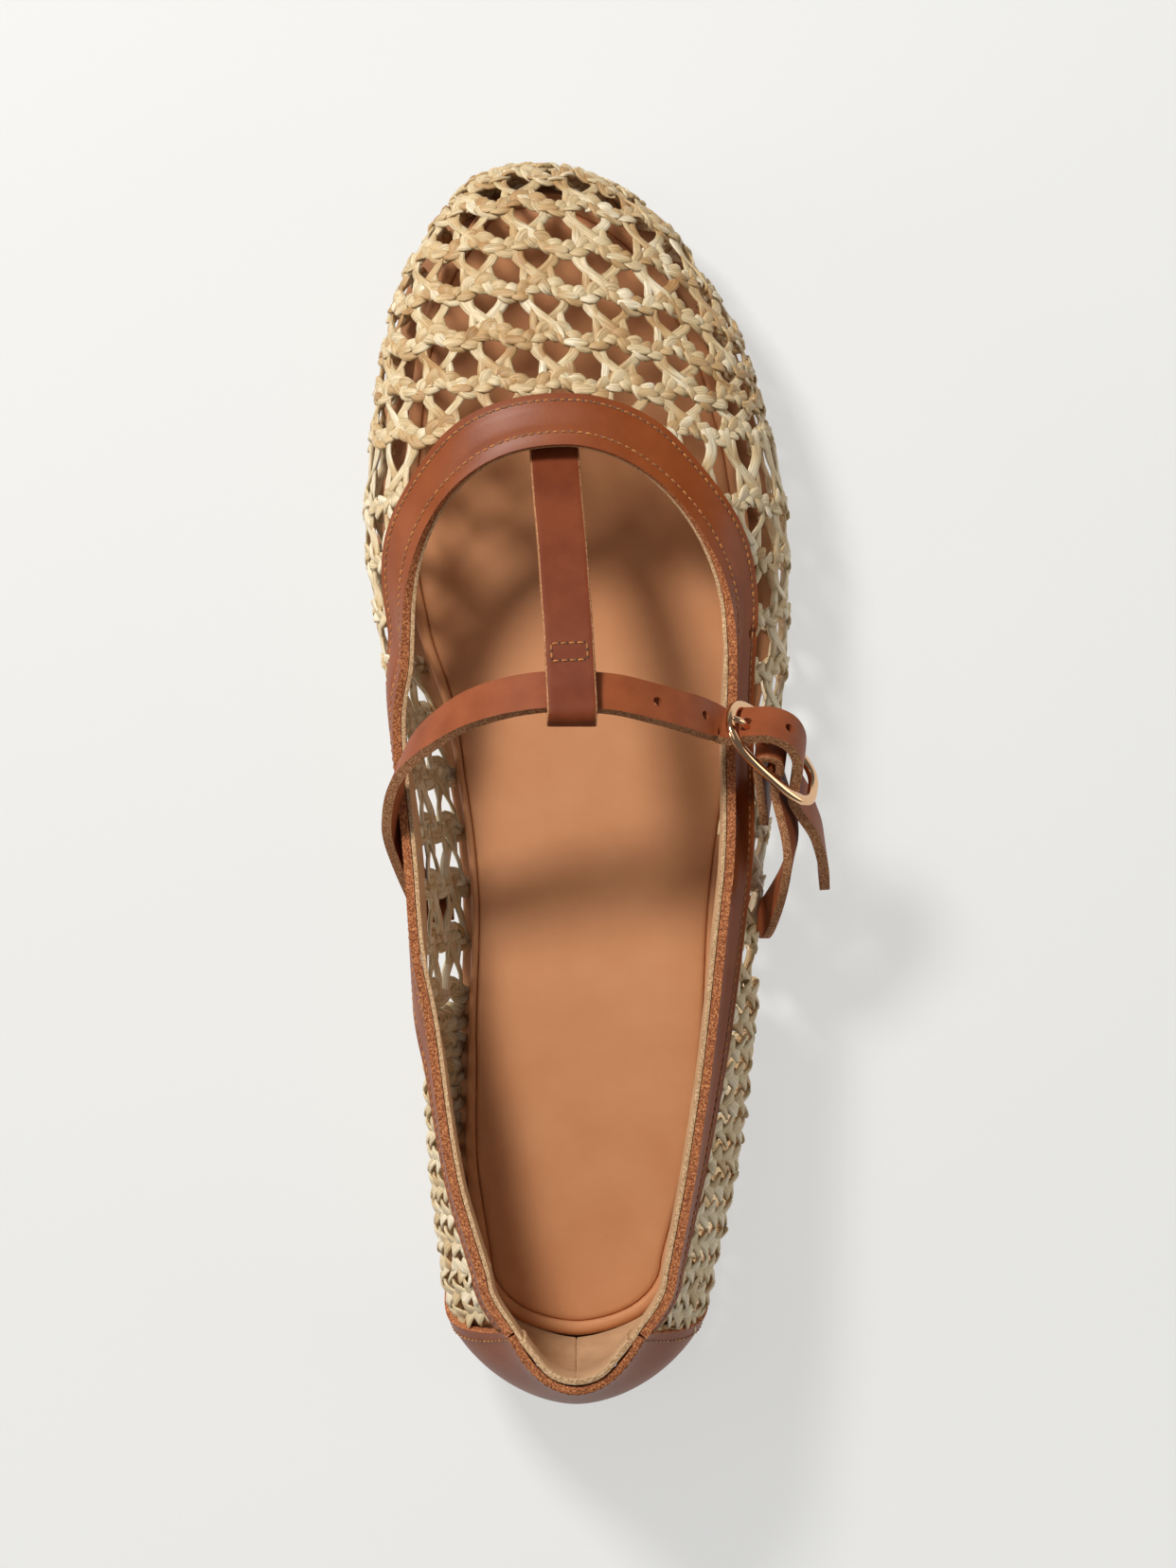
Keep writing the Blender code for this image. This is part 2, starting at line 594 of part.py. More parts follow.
def build_sides(sheet, throat_line, throat_arcs):
    """Bands down the walls from the outer throat, round the heel, to the inner throat."""
    straight = TOE_TIP_Y - SIDE_START_Y - BAND_HALF
    outer_corner = int(np.argmin(np.abs(np.array(throat_arcs) - collar_arc("outer", straight))))
    inner_corner = int(np.argmin(np.abs(np.array(throat_arcs) + collar_arc("inner", straight))))
    front_line = throat_line[outer_corner:]
    final_line = throat_line[:inner_corner + 1][::-1]
    pitch = 2 * (SIDE_RUN + HEEL_RUN - TOE_TIP_Y + SIDE_START_Y) / (SIDE_BANDS - 1)
    for number in range(SIDE_BANDS):
        q = number * pitch
        middle_line = side_line(sheet, q, even_arcs(*side_ends(q), FILL_STEP), True)
        sheet.zip(front_line, middle_line)
        if number == SIDE_BANDS - 1:
            sheet.zip(middle_line, final_line)
            break
        back_q, next_q = q + BAND_HALF, q + pitch - BAND_HALF
        side, s = side_station(q + pitch / 2)
        is_open = TOE_TIP_Y - s > LATTICE_END_Y
        groups = wall_struts(wall_height(side, s)) if is_open else []
        pairs, holes = lattice_columns(side_ends(back_q), side_ends(next_q), groups)
        back_line = side_line(sheet, back_q, [p[0] for p in pairs])
        next_line = side_line(sheet, next_q, [p[1] for p in pairs])
        sheet.zip(middle_line, back_line)
        lattice_row(sheet, back_line, next_line, holes)
        front_line = next_line


def make_upper(material):
    sheet = Sheet()
    build_sides(sheet, *build_vamp(sheet))
    points, faces = sheet.closed()
    return add_object("upper", points, faces, material)


def grid_solid(outer, inner):
    """A closed shell from two equal grids of points, one row for each station."""
    rows, columns = len(outer), len(outer[0])
    points = [p for row in outer for p in row] + [p for row in inner for p in row]
    count = rows * columns
    faces = []
    for i in range(rows - 1):
        for j in range(columns - 1):
            a, b = i * columns + j, i * columns + j + 1
            c, d = b + columns, a + columns
            faces += [(a, b, c, d), (d + count, c + count, b + count, a + count)]
        for j in (0, columns - 1):
            a, d = i * columns + j, (i + 1) * columns + j
            faces.append((a, d, d + count, a + count) if j == 0 else (d, a, a + count, d + count))
    for j in range(columns - 1):
        a, b = j, j + 1
        faces.append((b, a, a + count, b + count))
        a, b = (rows - 1) * columns + j, (rows - 1) * columns + j + 1
        faces.append((a, b, b + count, a + count))
    return points, faces


def band_stations():
    """Side and run of places round the opening, from the outer counter by the throat to the inner one."""
    front = TOE_TIP_Y - THROAT_BACK_Y - THROAT_LENGTH
    runs = [front + THROAT_LENGTH * (1 - math.cos(t)) for t in np.linspace(0.0, math.pi / 2, 17)]
    runs += list(np.linspace(TOE_TIP_Y - THROAT_BACK_Y, COUNTER_FRONT[1] - SEAM, 19))[1:]
    return [("outer", s) for s in runs[::-1]] + [("inner", s) for s in runs[1:]]


def band_row(side, s, lift):
    """Points across the band. Behind the throat, arcs are counted up from the feather line."""
    front = TOE_TIP_Y - THROAT_BACK_Y - THROAT_LENGTH
    edge = collar_arc if s < TOE_TIP_Y - THROAT_BACK_Y else lambda *at: -wall_height(*at)
    near = [max(s - 0.6, front), s + 0.6]
    along = np.array((near[1] - near[0], edge(side, near[1]) - edge(side, near[0])))
    across = np.array((-along[1], along[0])) / np.linalg.norm(along)
    if s == front:
        across = np.array((-1.0, 0.0))
    row = []
    for reach in np.linspace(0.0, COVER_WIDTH, 4):
        run, arc = s + across[0] * reach, edge(side, s) + across[1] * reach
        feather = feather_arc(side, run)
        if edge is not collar_arc:
            arc += feather
        share = (feather - arc) / wall_height(side, run)
        row.append(surface(side, min(run, counter_edge(min(share, 1.0)) - SEAM), arc, lift))
    return row


def band_grid(lift):
    """Rows of points across the band at one height above the upper."""
    return [band_row(side, s, lift) for side, s in band_stations()]


def make_topline_band(material):
    points, faces = grid_solid(band_grid(OVERLAY_GAP + BAND_THICK), band_grid(OVERLAY_GAP))
    return add_object("topline_band", points, faces, material)


def counter_edge(share):
    """Run of the counter's front edge at a share of the way from the sole up to the collar."""
    return COUNTER_FRONT[0] + (COUNTER_FRONT[1] - COUNTER_FRONT[0]) * share**COUNTER_CURVE


def counter_grid(lift):
    rows = []
    shares = np.linspace(0, 1, COUNTER_STATIONS)
    stations = [("outer", t) for t in shares] + [("inner", t) for t in shares[-2::-1]]
    for side, t in stations:
        row = []
        for v in np.linspace(0, 1, COUNTER_ROWS):
            edge = counter_edge(v)
            s = edge + (SIDE_RUN + HEEL_RUN - edge) * t
            low = feather_arc(side, s) - 0.6
            high = collar_arc(side, s)
            row.append(surface(side, s, low + (high - low) * v, lift))
        rows.append(row)
    return rows


def make_heel_counter(material):
    points, faces = grid_solid(counter_grid(OVERLAY_GAP + COUNTER_THICK), counter_grid(OVERLAY_GAP))
    return add_object("heel_counter", points, faces, material)


def loop_runs():
    """Runs for points round the sole: closest together at the toe tip and round the heel."""
    toe = [root * root for root in np.linspace(0.0, math.sqrt(TOE_RUN), TOE_POINTS)]
    side = list(np.linspace(TOE_RUN, SIDE_RUN, SIDE_POINTS))
    heel = list(np.linspace(SIDE_RUN, SIDE_RUN + HEEL_RUN, HEEL_POINTS))
    return toe + side[1:] + heel[1:]


def sole_runs():
    """The same runs with a pair at the heel's breast."""
    breast = TOE_TIP_Y - HEEL_BREAST_Y
    return sorted(loop_runs() + [breast - BREAST_SLOPE, breast + BREAST_SLOPE])


def feather_loop(runs, inset):
    """Points round the feather line, moved in by inset(s), from the toe tip by the outer side.
    Each has the y of its section as well, which sets its height."""
    halves = []
    for side in ("outer", "inner"):
        half = []
        for s in runs:
            spot = on_last(side, s, feather_arc(side, s))
            x, y = spot[:2] - section(side, s)[2] * inset(s)
            half.append((x, y, TOE_TIP_Y - s if s < SIDE_RUN else y))
        halves.append(half)
    return halves[0] + halves[1][-2:0:-1]


def feather_height(y):
    return last("feather_z", min(max(TOE_TIP_Y - y, 0.0), SIDE_RUN))


def ring_solid(rings):
    """A closed solid from rings of points, lowest first, capped by strips between facing points."""
    count = len(rings[0])
    points = [p for ring in rings for p in ring]
    faces = []
    for k in range(len(rings) - 1):
        for i in range(count):
            j = (i + 1) % count
            faces.append((k * count + j, k * count + i, (k + 1) * count + i, (k + 1) * count + j))
    for base, flip in ((0, False), ((len(rings) - 1) * count, True)):
        for i in range(count // 2):
            corners = dict.fromkeys((i, i + 1, (count - i - 1) % count, (count - i) % count))
            loop = [base + k for k in corners]
            faces.append(loop[::-1] if flip else loop)
    return points, faces


def raised_ring(runs, inset, height):
    return [np.array((x, y, height(section_y))) for x, y, section_y in feather_loop(runs, inset)]


def make_outsole(material):
    """A leather sole that follows the feather line, with a low heel cut at its breast."""
    def top(y):
        return feather_height(y) - OVERLAY_GAP

    def bottom(y):
        return 0.0 if y < HEEL_BREAST_Y else monotone(SOLE_BOTTOM[::-1, 0], SOLE_BOTTOM[::-1, 1], y)
    runs = sole_runs()
    rings = [
        raised_ring(runs, lambda s: SOLE_ROUND - SOLE_EDGE, bottom),
        raised_ring(runs, lambda s: -SOLE_EDGE, lambda y: bottom(y) + SOLE_ROUND),
        raised_ring(runs, lambda s: -SOLE_EDGE, lambda y: top(y) - SOLE_ROUND / 2),
        raised_ring(runs, lambda s: SOLE_ROUND / 2 - SOLE_EDGE, top),
    ]
    points, faces = ring_solid(rings)
    return add_object("outsole", points, faces, material)


def footbed_inset(s):
    """The footbed stops short of the heel's back."""
    angle = max(s - SIDE_RUN, 0.0) / HEEL_PERIMETER_R
    return FOOTBED_INSET + (FOOTBED_BACK_INSET - FOOTBED_INSET) * math.sin(angle) ** 2


def make_insole(material):
    """A thick leather footbed with a rolled edge and a crease inside the roll."""
    runs = loop_runs()
    rings = []
    for extra, height in FOOTBED_RINGS:
        rings.append(raised_ring(
            runs, lambda s: footbed_inset(s) + extra, lambda y: feather_height(y) + height))
    points, faces = ring_solid(rings)
    return add_object("insole", points, faces, material)


def smooth_path(rows, per_span=3):
    """Rows of a strap's table, with points added on a smooth curve between them."""
    rows = np.array(rows, dtype=float)
    padded = np.vstack([2 * rows[0] - rows[1], rows, 2 * rows[-1] - rows[-2]])
    made = []
    for i in range(1, len(padded) - 2):
        a, b, c, d = padded[i - 1:i + 3]
        for t in np.arange(per_span) / per_span:
            made.append(0.5 * (2 * b + (c - a) * t + (2 * a - 5 * b + 4 * c - d) * t**2
                               + (3 * b - a - 3 * c + d) * t**3))
    made.append(rows[-1])
    return np.array(made)


def strap_frames(path):
    """Centre, direction across and face normal at each point of a strap."""
    frames = []
    for i, row in enumerate(path):
        along = path[min(i + 1, len(path) - 1)][:3] - path[max(i - 1, 0)][:3]
        along /= np.linalg.norm(along)
        across = row[3:] - along * (row[3:] @ along)
        across /= np.linalg.norm(across)
        frames.append((row[:3], across, np.cross(along, across)))
    return frames


def make_strap(name, path, width, thick, material):
    rings = []
    for centre, across, normal in strap_frames(path):
        side, face = across * width / 2, normal * thick / 2
        rings.append([centre - side - face, centre + side - face, centre + side + face, centre - side + face])
    return add_object(name, *tube_solid(rings), material)


def tube_solid(rings, wrap=False):
    """A closed tube through rings of points, capped at its ends unless it runs round into itself."""
    count = len(rings[0])
    points = [p for ring in rings for p in ring]
    faces = []
    for i in range(len(rings) if wrap else len(rings) - 1):
        k = (i + 1) % len(rings)
        for j in range(count):
            n = (j + 1) % count
            faces.append((i * count + j, i * count + n, k * count + n, k * count + j))
    if not wrap:
        faces.append(list(range(count))[::-1])
        faces.append([(len(rings) - 1) * count + j for j in range(count)])
    return points, faces


def anchor_rows(anchor, thick):
    """Strap rows that lie on the outside of the wall, from the sole upwards."""
    side, y, heights = anchor
    s = TOE_TIP_Y - y
    rows = []
    for height in heights:
        spot = surface(side, s, feather_arc(side, s) - height, STRIP_RAISE + OVERLAY_GAP + thick / 2)
        rows.append((*spot, 0.0, -1.0, 0.1))
    return rows


def buckle_rows(steps):
    """Strap rows given along the buckle and up from its plane."""
    return [(*(FRAME_CENTRE + FRAME_ALONG * a + FRAME_UP * up), *FRAME_ACROSS) for a, up in steps]


def make_instep_strap(material):
    rows = anchor_rows(INSTEP_ANCHOR, INSTEP_THICK) + list(INSTEP_PATH)
    rows += buckle_rows(INSTEP_THROUGH_BUCKLE) + list(INSTEP_TAIL)
    return make_strap("instep_strap", smooth_path(rows), INSTEP_WIDTH, INSTEP_THICK, material)


def make_buckle_strap(material):
    rows = anchor_rows(BUCKLE_STRAP_ANCHOR, BUCKLE_STRAP_THICK) + list(BUCKLE_STRAP_PATH)
    rows += buckle_rows(FOLD_ROUND_BAR)
    return make_strap("buckle_strap", smooth_path(rows), BUCKLE_STRAP_WIDTH, BUCKLE_STRAP_THICK, material)


def wire(centres, radius, wrap):
    """Rings of a round wire through its centres."""
    rings = []
    count = len(centres)
    for i, centre in enumerate(centres):
        ahead = centres[(i + 1) % count] if wrap else centres[min(i + 1, count - 1)]
        behind = centres[i - 1] if wrap else centres[max(i - 1, 0)]
        along = (ahead - behind) / np.linalg.norm(ahead - behind)
        first = np.cross(along, FRAME_UP if abs(along @ FRAME_UP) < 0.9 else FRAME_ALONG)
        first /= np.linalg.norm(first)
        second = np.cross(along, first)
        turns = np.arange(WIRE_SIDES) * 2 * math.pi / WIRE_SIDES
        rings.append([centre + radius * (math.cos(t) * first + math.sin(t) * second) for t in turns])
    return rings


def rounded(value):
    return math.copysign(abs(value) ** (2 / FRAME_POWER), value)


def make_buckle_frame(material):
    centres = []
    for i in range(FRAME_STEPS):
        t = 2 * math.pi * i / FRAME_STEPS
        centres.append(FRAME_CENTRE + FRAME_ALONG * FRAME_HALF_LENGTH * rounded(math.cos(t))
                       + FRAME_ACROSS * FRAME_HALF_WIDTH * rounded(math.sin(t)))
    return add_object("buckle_frame", *tube_solid(wire(centres, WIRE_R, True), True), material)


def make_buckle_bar(material):
    reach = FRAME_HALF_WIDTH - WIRE_R - GAP
    ends = [FRAME_CENTRE + FRAME_ACROSS * side * reach for side in (-1, 1)]
    return add_object("buckle_bar", *tube_solid(wire(ends, BAR_R, False)), material)


def prong_rings(radius):
    return wire([FRAME_CENTRE + FRAME_ALONG * a + FRAME_UP * up for a, up in PRONG_PATH], radius, False)


def make_buckle_prong(material, strap):
    """The pin, and the hole that it needs in the strap."""
    slot = add_object("prong_slot", *tube_solid(prong_rings(PRONG_SLOT_R)), material)
    slot.hide_render = True
    slot.display_type = "WIRE"
    cut = strap.modifiers.new("prong_hole", "BOOLEAN")
    cut.operation = "DIFFERENCE"
    cut.object = slot
    return add_object("buckle_prong", *tube_solid(prong_rings(PRONG_R)), material)


def main():
    for made in list(bpy.data.objects):
        bpy.data.objects.remove(made, do_unlink=True)
    raffia = make_material("woven_raffia", "raffia", 0.6)
    cognac = make_material("cognac_leather", "cognac", 0.4)
    strap = make_material("strap_leather", "strap", 0.45)
    sole = make_material("sole_leather", "sole", 0.55)
    footbed = make_material("footbed_leather", "footbed", 0.5)
    gold = make_material("pale_gold", "gold", 0.2, 1.0)
    make_outsole(sole)
    make_insole(footbed)
    make_upper(raffia)
    make_topline_band(cognac)
    make_heel_counter(cognac)
    make_strap("t_strap", smooth_path(T_PATH), T_WIDTH, T_THICK, strap)
    instep = make_instep_strap(strap)
    make_buckle_strap(strap)
    make_buckle_frame(gold)
    make_buckle_bar(gold)
    make_buckle_prong(gold, instep)


main()
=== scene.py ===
# %% [markdown]
# # A raffia ballet flat
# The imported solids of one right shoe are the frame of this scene. Each cell below dresses one piece
# of it as the maker would: plaited raffia, cut leather, thread, and a small polished buckle.
# The sizes are in millimetres in the shoe's own frame, with the toe along +Y and the buckle on +X.

# %% Load the solids
import math

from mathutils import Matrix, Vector
import bpy
import numpy as np


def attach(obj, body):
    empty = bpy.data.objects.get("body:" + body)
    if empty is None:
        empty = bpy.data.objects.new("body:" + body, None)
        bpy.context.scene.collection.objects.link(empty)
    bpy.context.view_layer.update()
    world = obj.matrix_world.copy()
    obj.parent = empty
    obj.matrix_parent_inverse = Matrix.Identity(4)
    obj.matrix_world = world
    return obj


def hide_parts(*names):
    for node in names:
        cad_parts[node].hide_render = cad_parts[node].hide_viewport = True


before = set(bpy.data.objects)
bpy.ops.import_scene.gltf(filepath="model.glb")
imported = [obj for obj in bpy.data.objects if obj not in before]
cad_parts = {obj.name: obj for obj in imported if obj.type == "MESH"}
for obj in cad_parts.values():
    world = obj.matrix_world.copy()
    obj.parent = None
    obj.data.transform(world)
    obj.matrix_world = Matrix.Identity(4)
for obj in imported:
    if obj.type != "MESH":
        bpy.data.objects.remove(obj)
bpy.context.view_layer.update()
MM = 0.001
SHIFT = np.array((-1.92, 1.32, 0.0))  # from the shoe's own frame to the frame of the solids
rng = np.random.default_rng(7)
print("solids:", sorted(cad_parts))

# %% [markdown]
# Small tools for finishes. Colours are given as sRGB hex values, and
# Blender's shaders work in linear light, so one function turns the one into the other. The second
# adds a shader node, sets its values and links it, so that each finish below reads as a short list.

# %% Tools for finishes


def linear(hex_colour):
    """An sRGB hex value as linear red, green, blue and alpha."""
    values = [int(hex_colour[i:i + 2], 16) / 255 for i in (1, 3, 5)]
    return (*[v / 12.92 if v <= 0.04045 else ((v + 0.055) / 1.055) ** 2.4 for v in values], 1.0)


def add_node(tree, kind, values=None, links=None, **settings):
    """A shader node with its settings, socket values, and links from other nodes' sockets."""
    node = tree.nodes.new(kind)
    for name, value in settings.items():
        setattr(node, name, value)
    for name, value in (values or {}).items():
        node.inputs[name].default_value = value
    for name, source in (links or {}).items():
        tree.links.new(source, node.inputs[name])
    return node


def set_ramp(node, stops):
    """Colour stops of a ramp, as pairs of position and hex value."""
    ramp = node.color_ramp
    while len(ramp.elements) < len(stops):
        ramp.elements.new(1.0)
    for element, (position, colour) in zip(ramp.elements, stops):
        element.position = position
        element.color = linear(colour)
    return node


def new_finish(name, **values):
    """An empty finish: its material, node tree and shader."""
    material = bpy.data.materials.new(name)
    material.use_nodes = True
    shader = material.node_tree.nodes["Principled BSDF"]
    for socket, value in values.items():
        shader.inputs[socket.replace("_", " ")].default_value = value
    return material, material.node_tree, shader


def per_mm(size):
    """The texture scale that gives a feature of this size in millimetres."""
    return 1000.0 / size


print("tools ready")

# %% [markdown]
# Raffia is a dried palm leaf, split into strips and twisted by hand. The strips are straw and cream,
# a few tan or greenish, with fine fibres along them and a slight shine. Every strand carries its own
# shade as an attribute, and a noise that is stretched along its UV map draws the fibres.

# %% Raffia finish
FIBRE_ACROSS, FIBRE_ALONG = 0.3, 5.0
raffia, tree, shader = new_finish("split_palm_raffia", Roughness=0.5, IOR=1.45)
shade = add_node(tree, "ShaderNodeAttribute", attribute_name="shade")
strand_uv = add_node(tree, "ShaderNodeUVMap", uv_map="strand")
stretched = add_node(
    tree, "ShaderNodeMapping", {"Scale": (1 / FIBRE_ACROSS, 1 / FIBRE_ALONG, 1.0)},
    {"Vector": strand_uv.outputs["UV"]})
fibres = add_node(
    tree, "ShaderNodeTexNoise", {"Scale": 1.0, "Detail": 3.0, "Roughness": 0.6},
    {"Vector": stretched.outputs["Vector"]})
straw = set_ramp(
    add_node(tree, "ShaderNodeValToRGB", links={"Fac": shade.outputs["Fac"]}),
    [(0.0, "#B08A5C"), (0.3, "#C4A67B"), (0.55, "#D1BD98"), (0.8, "#DCCDAF"), (1.0, "#E8DEC8")])
streak = set_ramp(
    add_node(tree, "ShaderNodeValToRGB", links={"Fac": fibres.outputs["Fac"]}),
    [(0.3, "#8E7A58"), (0.48, "#E4DAC6"), (0.66, "#FFFDF8")])
straw_colour = add_node(
    tree, "ShaderNodeMixRGB", {"Fac": 0.75},
    {"Color1": straw.outputs["Color"], "Color2": streak.outputs["Color"]}, blend_type="MULTIPLY")
tree.links.new(straw_colour.outputs["Color"], shader.inputs["Base Color"])
ridges = add_node(
    tree, "ShaderNodeBump", {"Strength": 0.6, "Distance": 0.2 * MM}, {"Height": fibres.outputs["Fac"]})
tree.links.new(ridges.outputs["Normal"], shader.inputs["Normal"])
print("finish:", raffia.name)

# %% [markdown]
# The leathers share one recipe: a dyed colour that is slightly cloudy, fine pores that catch the
# light, and a satin surface. Cut edges are another matter. There the leather's fibres show, rough
# and speckled, lighter than the dyed face. All patterns are sized in millimetres.

# %% Leather finishes
def leather(name, dark, light, cloud_mm, pore_mm, pore_depth, **values):
    """Dyed leather: cloudy colour between two tones, with pores as a fine bump."""
    material, tree, shader = new_finish(name, **values)
    place = add_node(tree, "ShaderNodeTexCoord").outputs["Object"]
    cloud = add_node(
        tree, "ShaderNodeTexNoise", {"Scale": per_mm(cloud_mm), "Detail": 4.0, "Roughness": 0.6},
        {"Vector": place})
    tone = set_ramp(
        add_node(tree, "ShaderNodeValToRGB", links={"Fac": cloud.outputs["Fac"]}),
        [(0.3, dark), (0.7, light)])
    tree.links.new(tone.outputs["Color"], shader.inputs["Base Color"])
    pores = add_node(
        tree, "ShaderNodeTexNoise", {"Scale": per_mm(pore_mm), "Detail": 2.0, "Roughness": 0.7},
        {"Vector": place})
    relief = add_node(
        tree, "ShaderNodeBump", {"Strength": 0.5, "Distance": pore_depth * MM},
        {"Height": pores.outputs["Fac"]})
    tree.links.new(relief.outputs["Normal"], shader.inputs["Normal"])
    return material


def speckled(name, dark, middle, light, speck_mm, **values):
    """A cut edge: three tones of fibre ends in small specks."""
    material, tree, shader = new_finish(name, **values)
    place = add_node(tree, "ShaderNodeTexCoord").outputs["Object"]
    specks = add_node(
        tree, "ShaderNodeTexNoise", {"Scale": per_mm(speck_mm), "Detail": 3.0, "Roughness": 0.7},
        {"Vector": place})
    tone = set_ramp(
        add_node(tree, "ShaderNodeValToRGB", links={"Fac": specks.outputs["Fac"]}),
        [(0.36, dark), (0.5, middle), (0.64, light)])
    tree.links.new(tone.outputs["Color"], shader.inputs["Base Color"])
    relief = add_node(
        tree, "ShaderNodeBump", {"Strength": 0.7, "Distance": 0.15 * MM}, {"Height": specks.outputs["Fac"]})
    tree.links.new(relief.outputs["Normal"], shader.inputs["Normal"])
    return material


SATIN = {"IOR": 1.45, "Specular_IOR_Level": 0.25}
cognac = leather("vegetable_tanned_cognac", "#7A3A17", "#88451F", 9.0, 0.5, 0.05, Roughness=0.4, **SATIN)
strap_hide = leather("strap_leather", "#7E3E1F", "#904C29", 7.0, 0.6, 0.06, Roughness=0.55, **SATIN)
# painted shade: a darker copy of the strap leather for the strap along the foot, which catches no sheen
strap_hide_painted_shade = leather(
    "strap_leather_painted_shade", "#672C12", "#77381B", 7.0, 0.6, 0.06, Roughness=0.6, **SATIN)
footbed_hide = leather("footbed_leather", "#BE8156", "#C68B60", 16.0, 0.5, 0.03, Roughness=0.55, **SATIN)
sole_hide = leather("sole_leather", "#8E5F3E", "#9E6D48", 12.0, 0.5, 0.04, Roughness=0.55, **SATIN)
lining_hide = leather("undyed_lining", "#B48E6A", "#C49E79", 5.0, 0.4, 0.06, Roughness=0.75, **SATIN)
lining_edge = speckled("cut_lining_edge", "#94704E", "#BC966E", "#DABD98", 0.4, Roughness=0.9, IOR=1.4)
raw_edge = speckled("cut_leather_edge", "#63311A", "#96552F", "#CC8A58", 0.4, Roughness=0.85, IOR=1.4)
strap_edge = speckled("cut_strap_edge", "#6C3C22", "#9C6842", "#C4966C", 0.35, Roughness=0.85, IOR=1.4)
print("leathers:", cognac.name, strap_hide.name, strap_hide_painted_shade.name, footbed_hide.name, lining_hide.name)

# %% [markdown]
# Three plain finishes are left. The buckle is polished metal with a pale rose-gold plating, so it
# takes nearly all its look from what it mirrors. The thread is waxed and gold-brown; the dark end of
# its ramp is painted shade, used for the needle holes. The floor is matt paper that glows a
# little, as a lit studio sweep does.

# %% Metal, thread and floor finishes
rose_gold, _, _ = new_finish(
    "pale_rose_gold", Base_Color=linear("#E4B890"), Metallic=1.0, Roughness=0.12)
# the ramp runs from painted shade (needle-hole marks, shade 0) to the thread's own gold-brown
thread, tree, shader = new_finish("waxed_thread_and_hole_shade", Roughness=0.45)
shade = add_node(tree, "ShaderNodeAttribute", attribute_name="shade")
thread_tone_and_hole_shade = set_ramp(
    add_node(tree, "ShaderNodeValToRGB", links={"Fac": shade.outputs["Fac"]}),
    [(0.0, "#3C1A0B"), (1.0, "#BC7838")])
tree.links.new(thread_tone_and_hole_shade.outputs["Color"], shader.inputs["Base Color"])
paper, _, _ = new_finish(
    "pale_paper", Base_Color=linear("#8E8E8C"), Roughness=0.95, Specular_IOR_Level=0.1,
    Emission_Color=linear("#FAFAF8"), Emission_Strength=0.585)
print("plain finishes:", rose_gold.name, thread.name, paper.name)

# %% [markdown]
# A shoe is built on a last, the wooden foot that gives it its form. The table holds one row for each
# cross-section of it from toe tip to heel. Everything that lies on the shoe is placed by two numbers:
# the run s back from the toe tip, and the arc u down from the ridge, negative on the inner side.

# %% The last
TOE_TIP_Y = 122.9
LAST_COLUMNS = (
    "y", "ridge_x", "ridge_z", "feather_z",
    "inner_half", "inner_bulge_z", "inner_tuck",
    "outer_half", "outer_bulge_z", "outer_tuck", "fullness", "inner_pinch", "outer_pinch",
)
LAST_ROWS = np.array([
    (122.9, -9.5, 15.0, 10.5, 0.0, 15.0, 2.5, 0.0, 15.0, 2.5, 2.2, 0.0, 0.0),
    (121.0, -9.5, 21.0, 10.2, 11.2, 15.0, 2.6, 10.0, 15.0, 2.6, 2.2, 0.0, 0.0),
    (118.0, -9.3, 25.5, 9.6, 15.9, 15.2, 2.8, 16.0, 15.2, 2.8, 2.25, 0.0, 0.0),
    (112.5, -8.6, 30.5, 8.6, 21.0, 15.6, 3.0, 23.0, 15.6, 3.0, 2.3, 0.0, 0.0),
    (101.0, -7.0, 36.0, 7.0, 29.6, 16.4, 3.4, 29.8, 16.4, 3.4, 2.3, 0.0, 0.0),
    (90.0, -5.6, 39.5, 6.0, 34.3, 17.2, 3.6, 35.2, 17.2, 3.6, 2.25, 0.0, 0.0),
    (78.0, -4.4, 43.5, 5.4, 37.5, 18.0, 3.8, 38.0, 18.0, 3.8, 2.2, 0.0, 0.0),
    (65.0, -4.0, 46.0, 5.0, 39.3, 19.0, 4.0, 41.0, 18.6, 4.0, 2.1, 8.0, 14.0),
    (50.0, -3.2, 47.5, 5.0, 40.9, 20.5, 4.2, 42.2, 19.4, 4.2, 2.05, 8.0, 14.0),
    (30.0, -2.5, 48.3, 5.0, 38.9, 26.0, 5.4, 41.6, 20.2, 4.6, 2.0, 7.0, 12.7),
    (10.0, -1.9, 49.5, 6.4, 34.6, 36.0, 7.6, 39.2, 21.0, 5.4, 2.0, 2.6, 11.2),
    (-20.0, -1.1, 59.0, 9.4, 31.8, 43.0, 8.6, 34.9, 23.0, 6.0, 2.0, 0.9, 8.4),
    (-50.0, -1.1, 63.0, 11.4, 30.2, 34.0, 6.6, 32.0, 24.0, 4.8, 2.0, 2.8, 8.8),
    (-75.0, -1.6, 69.0, 12.0, 28.4, 27.0, 4.2, 29.3, 24.0, 3.6, 2.0, 5.3, 9.3),
    (-95.5, -2.3, 75.0, 12.0, 25.4, 26.0, 3.0, 25.4, 25.0, 3.0, 2.0, 9.0, 8.6),
])
HEEL_X, HEEL_Y, HEEL_REACH, HEEL_ROUNDNESS = -2.3, -95.5, 24.0, 1.8
HEEL_BULGE_Z, HEEL_PERIMETER_R = 28.0, 27.0
HEEL_PINCH, CORNER_PINCH, FREE_EDGE, LEAST_CLIMB = 4.1, 1.95, 3.0, 12.0
WALL_START_Y, WALL_BLEND = 66.0, 50.0
SIDE_RUN = TOE_TIP_Y - HEEL_Y
FULL_RUN = SIDE_RUN + HEEL_PERIMETER_R * math.pi / 2
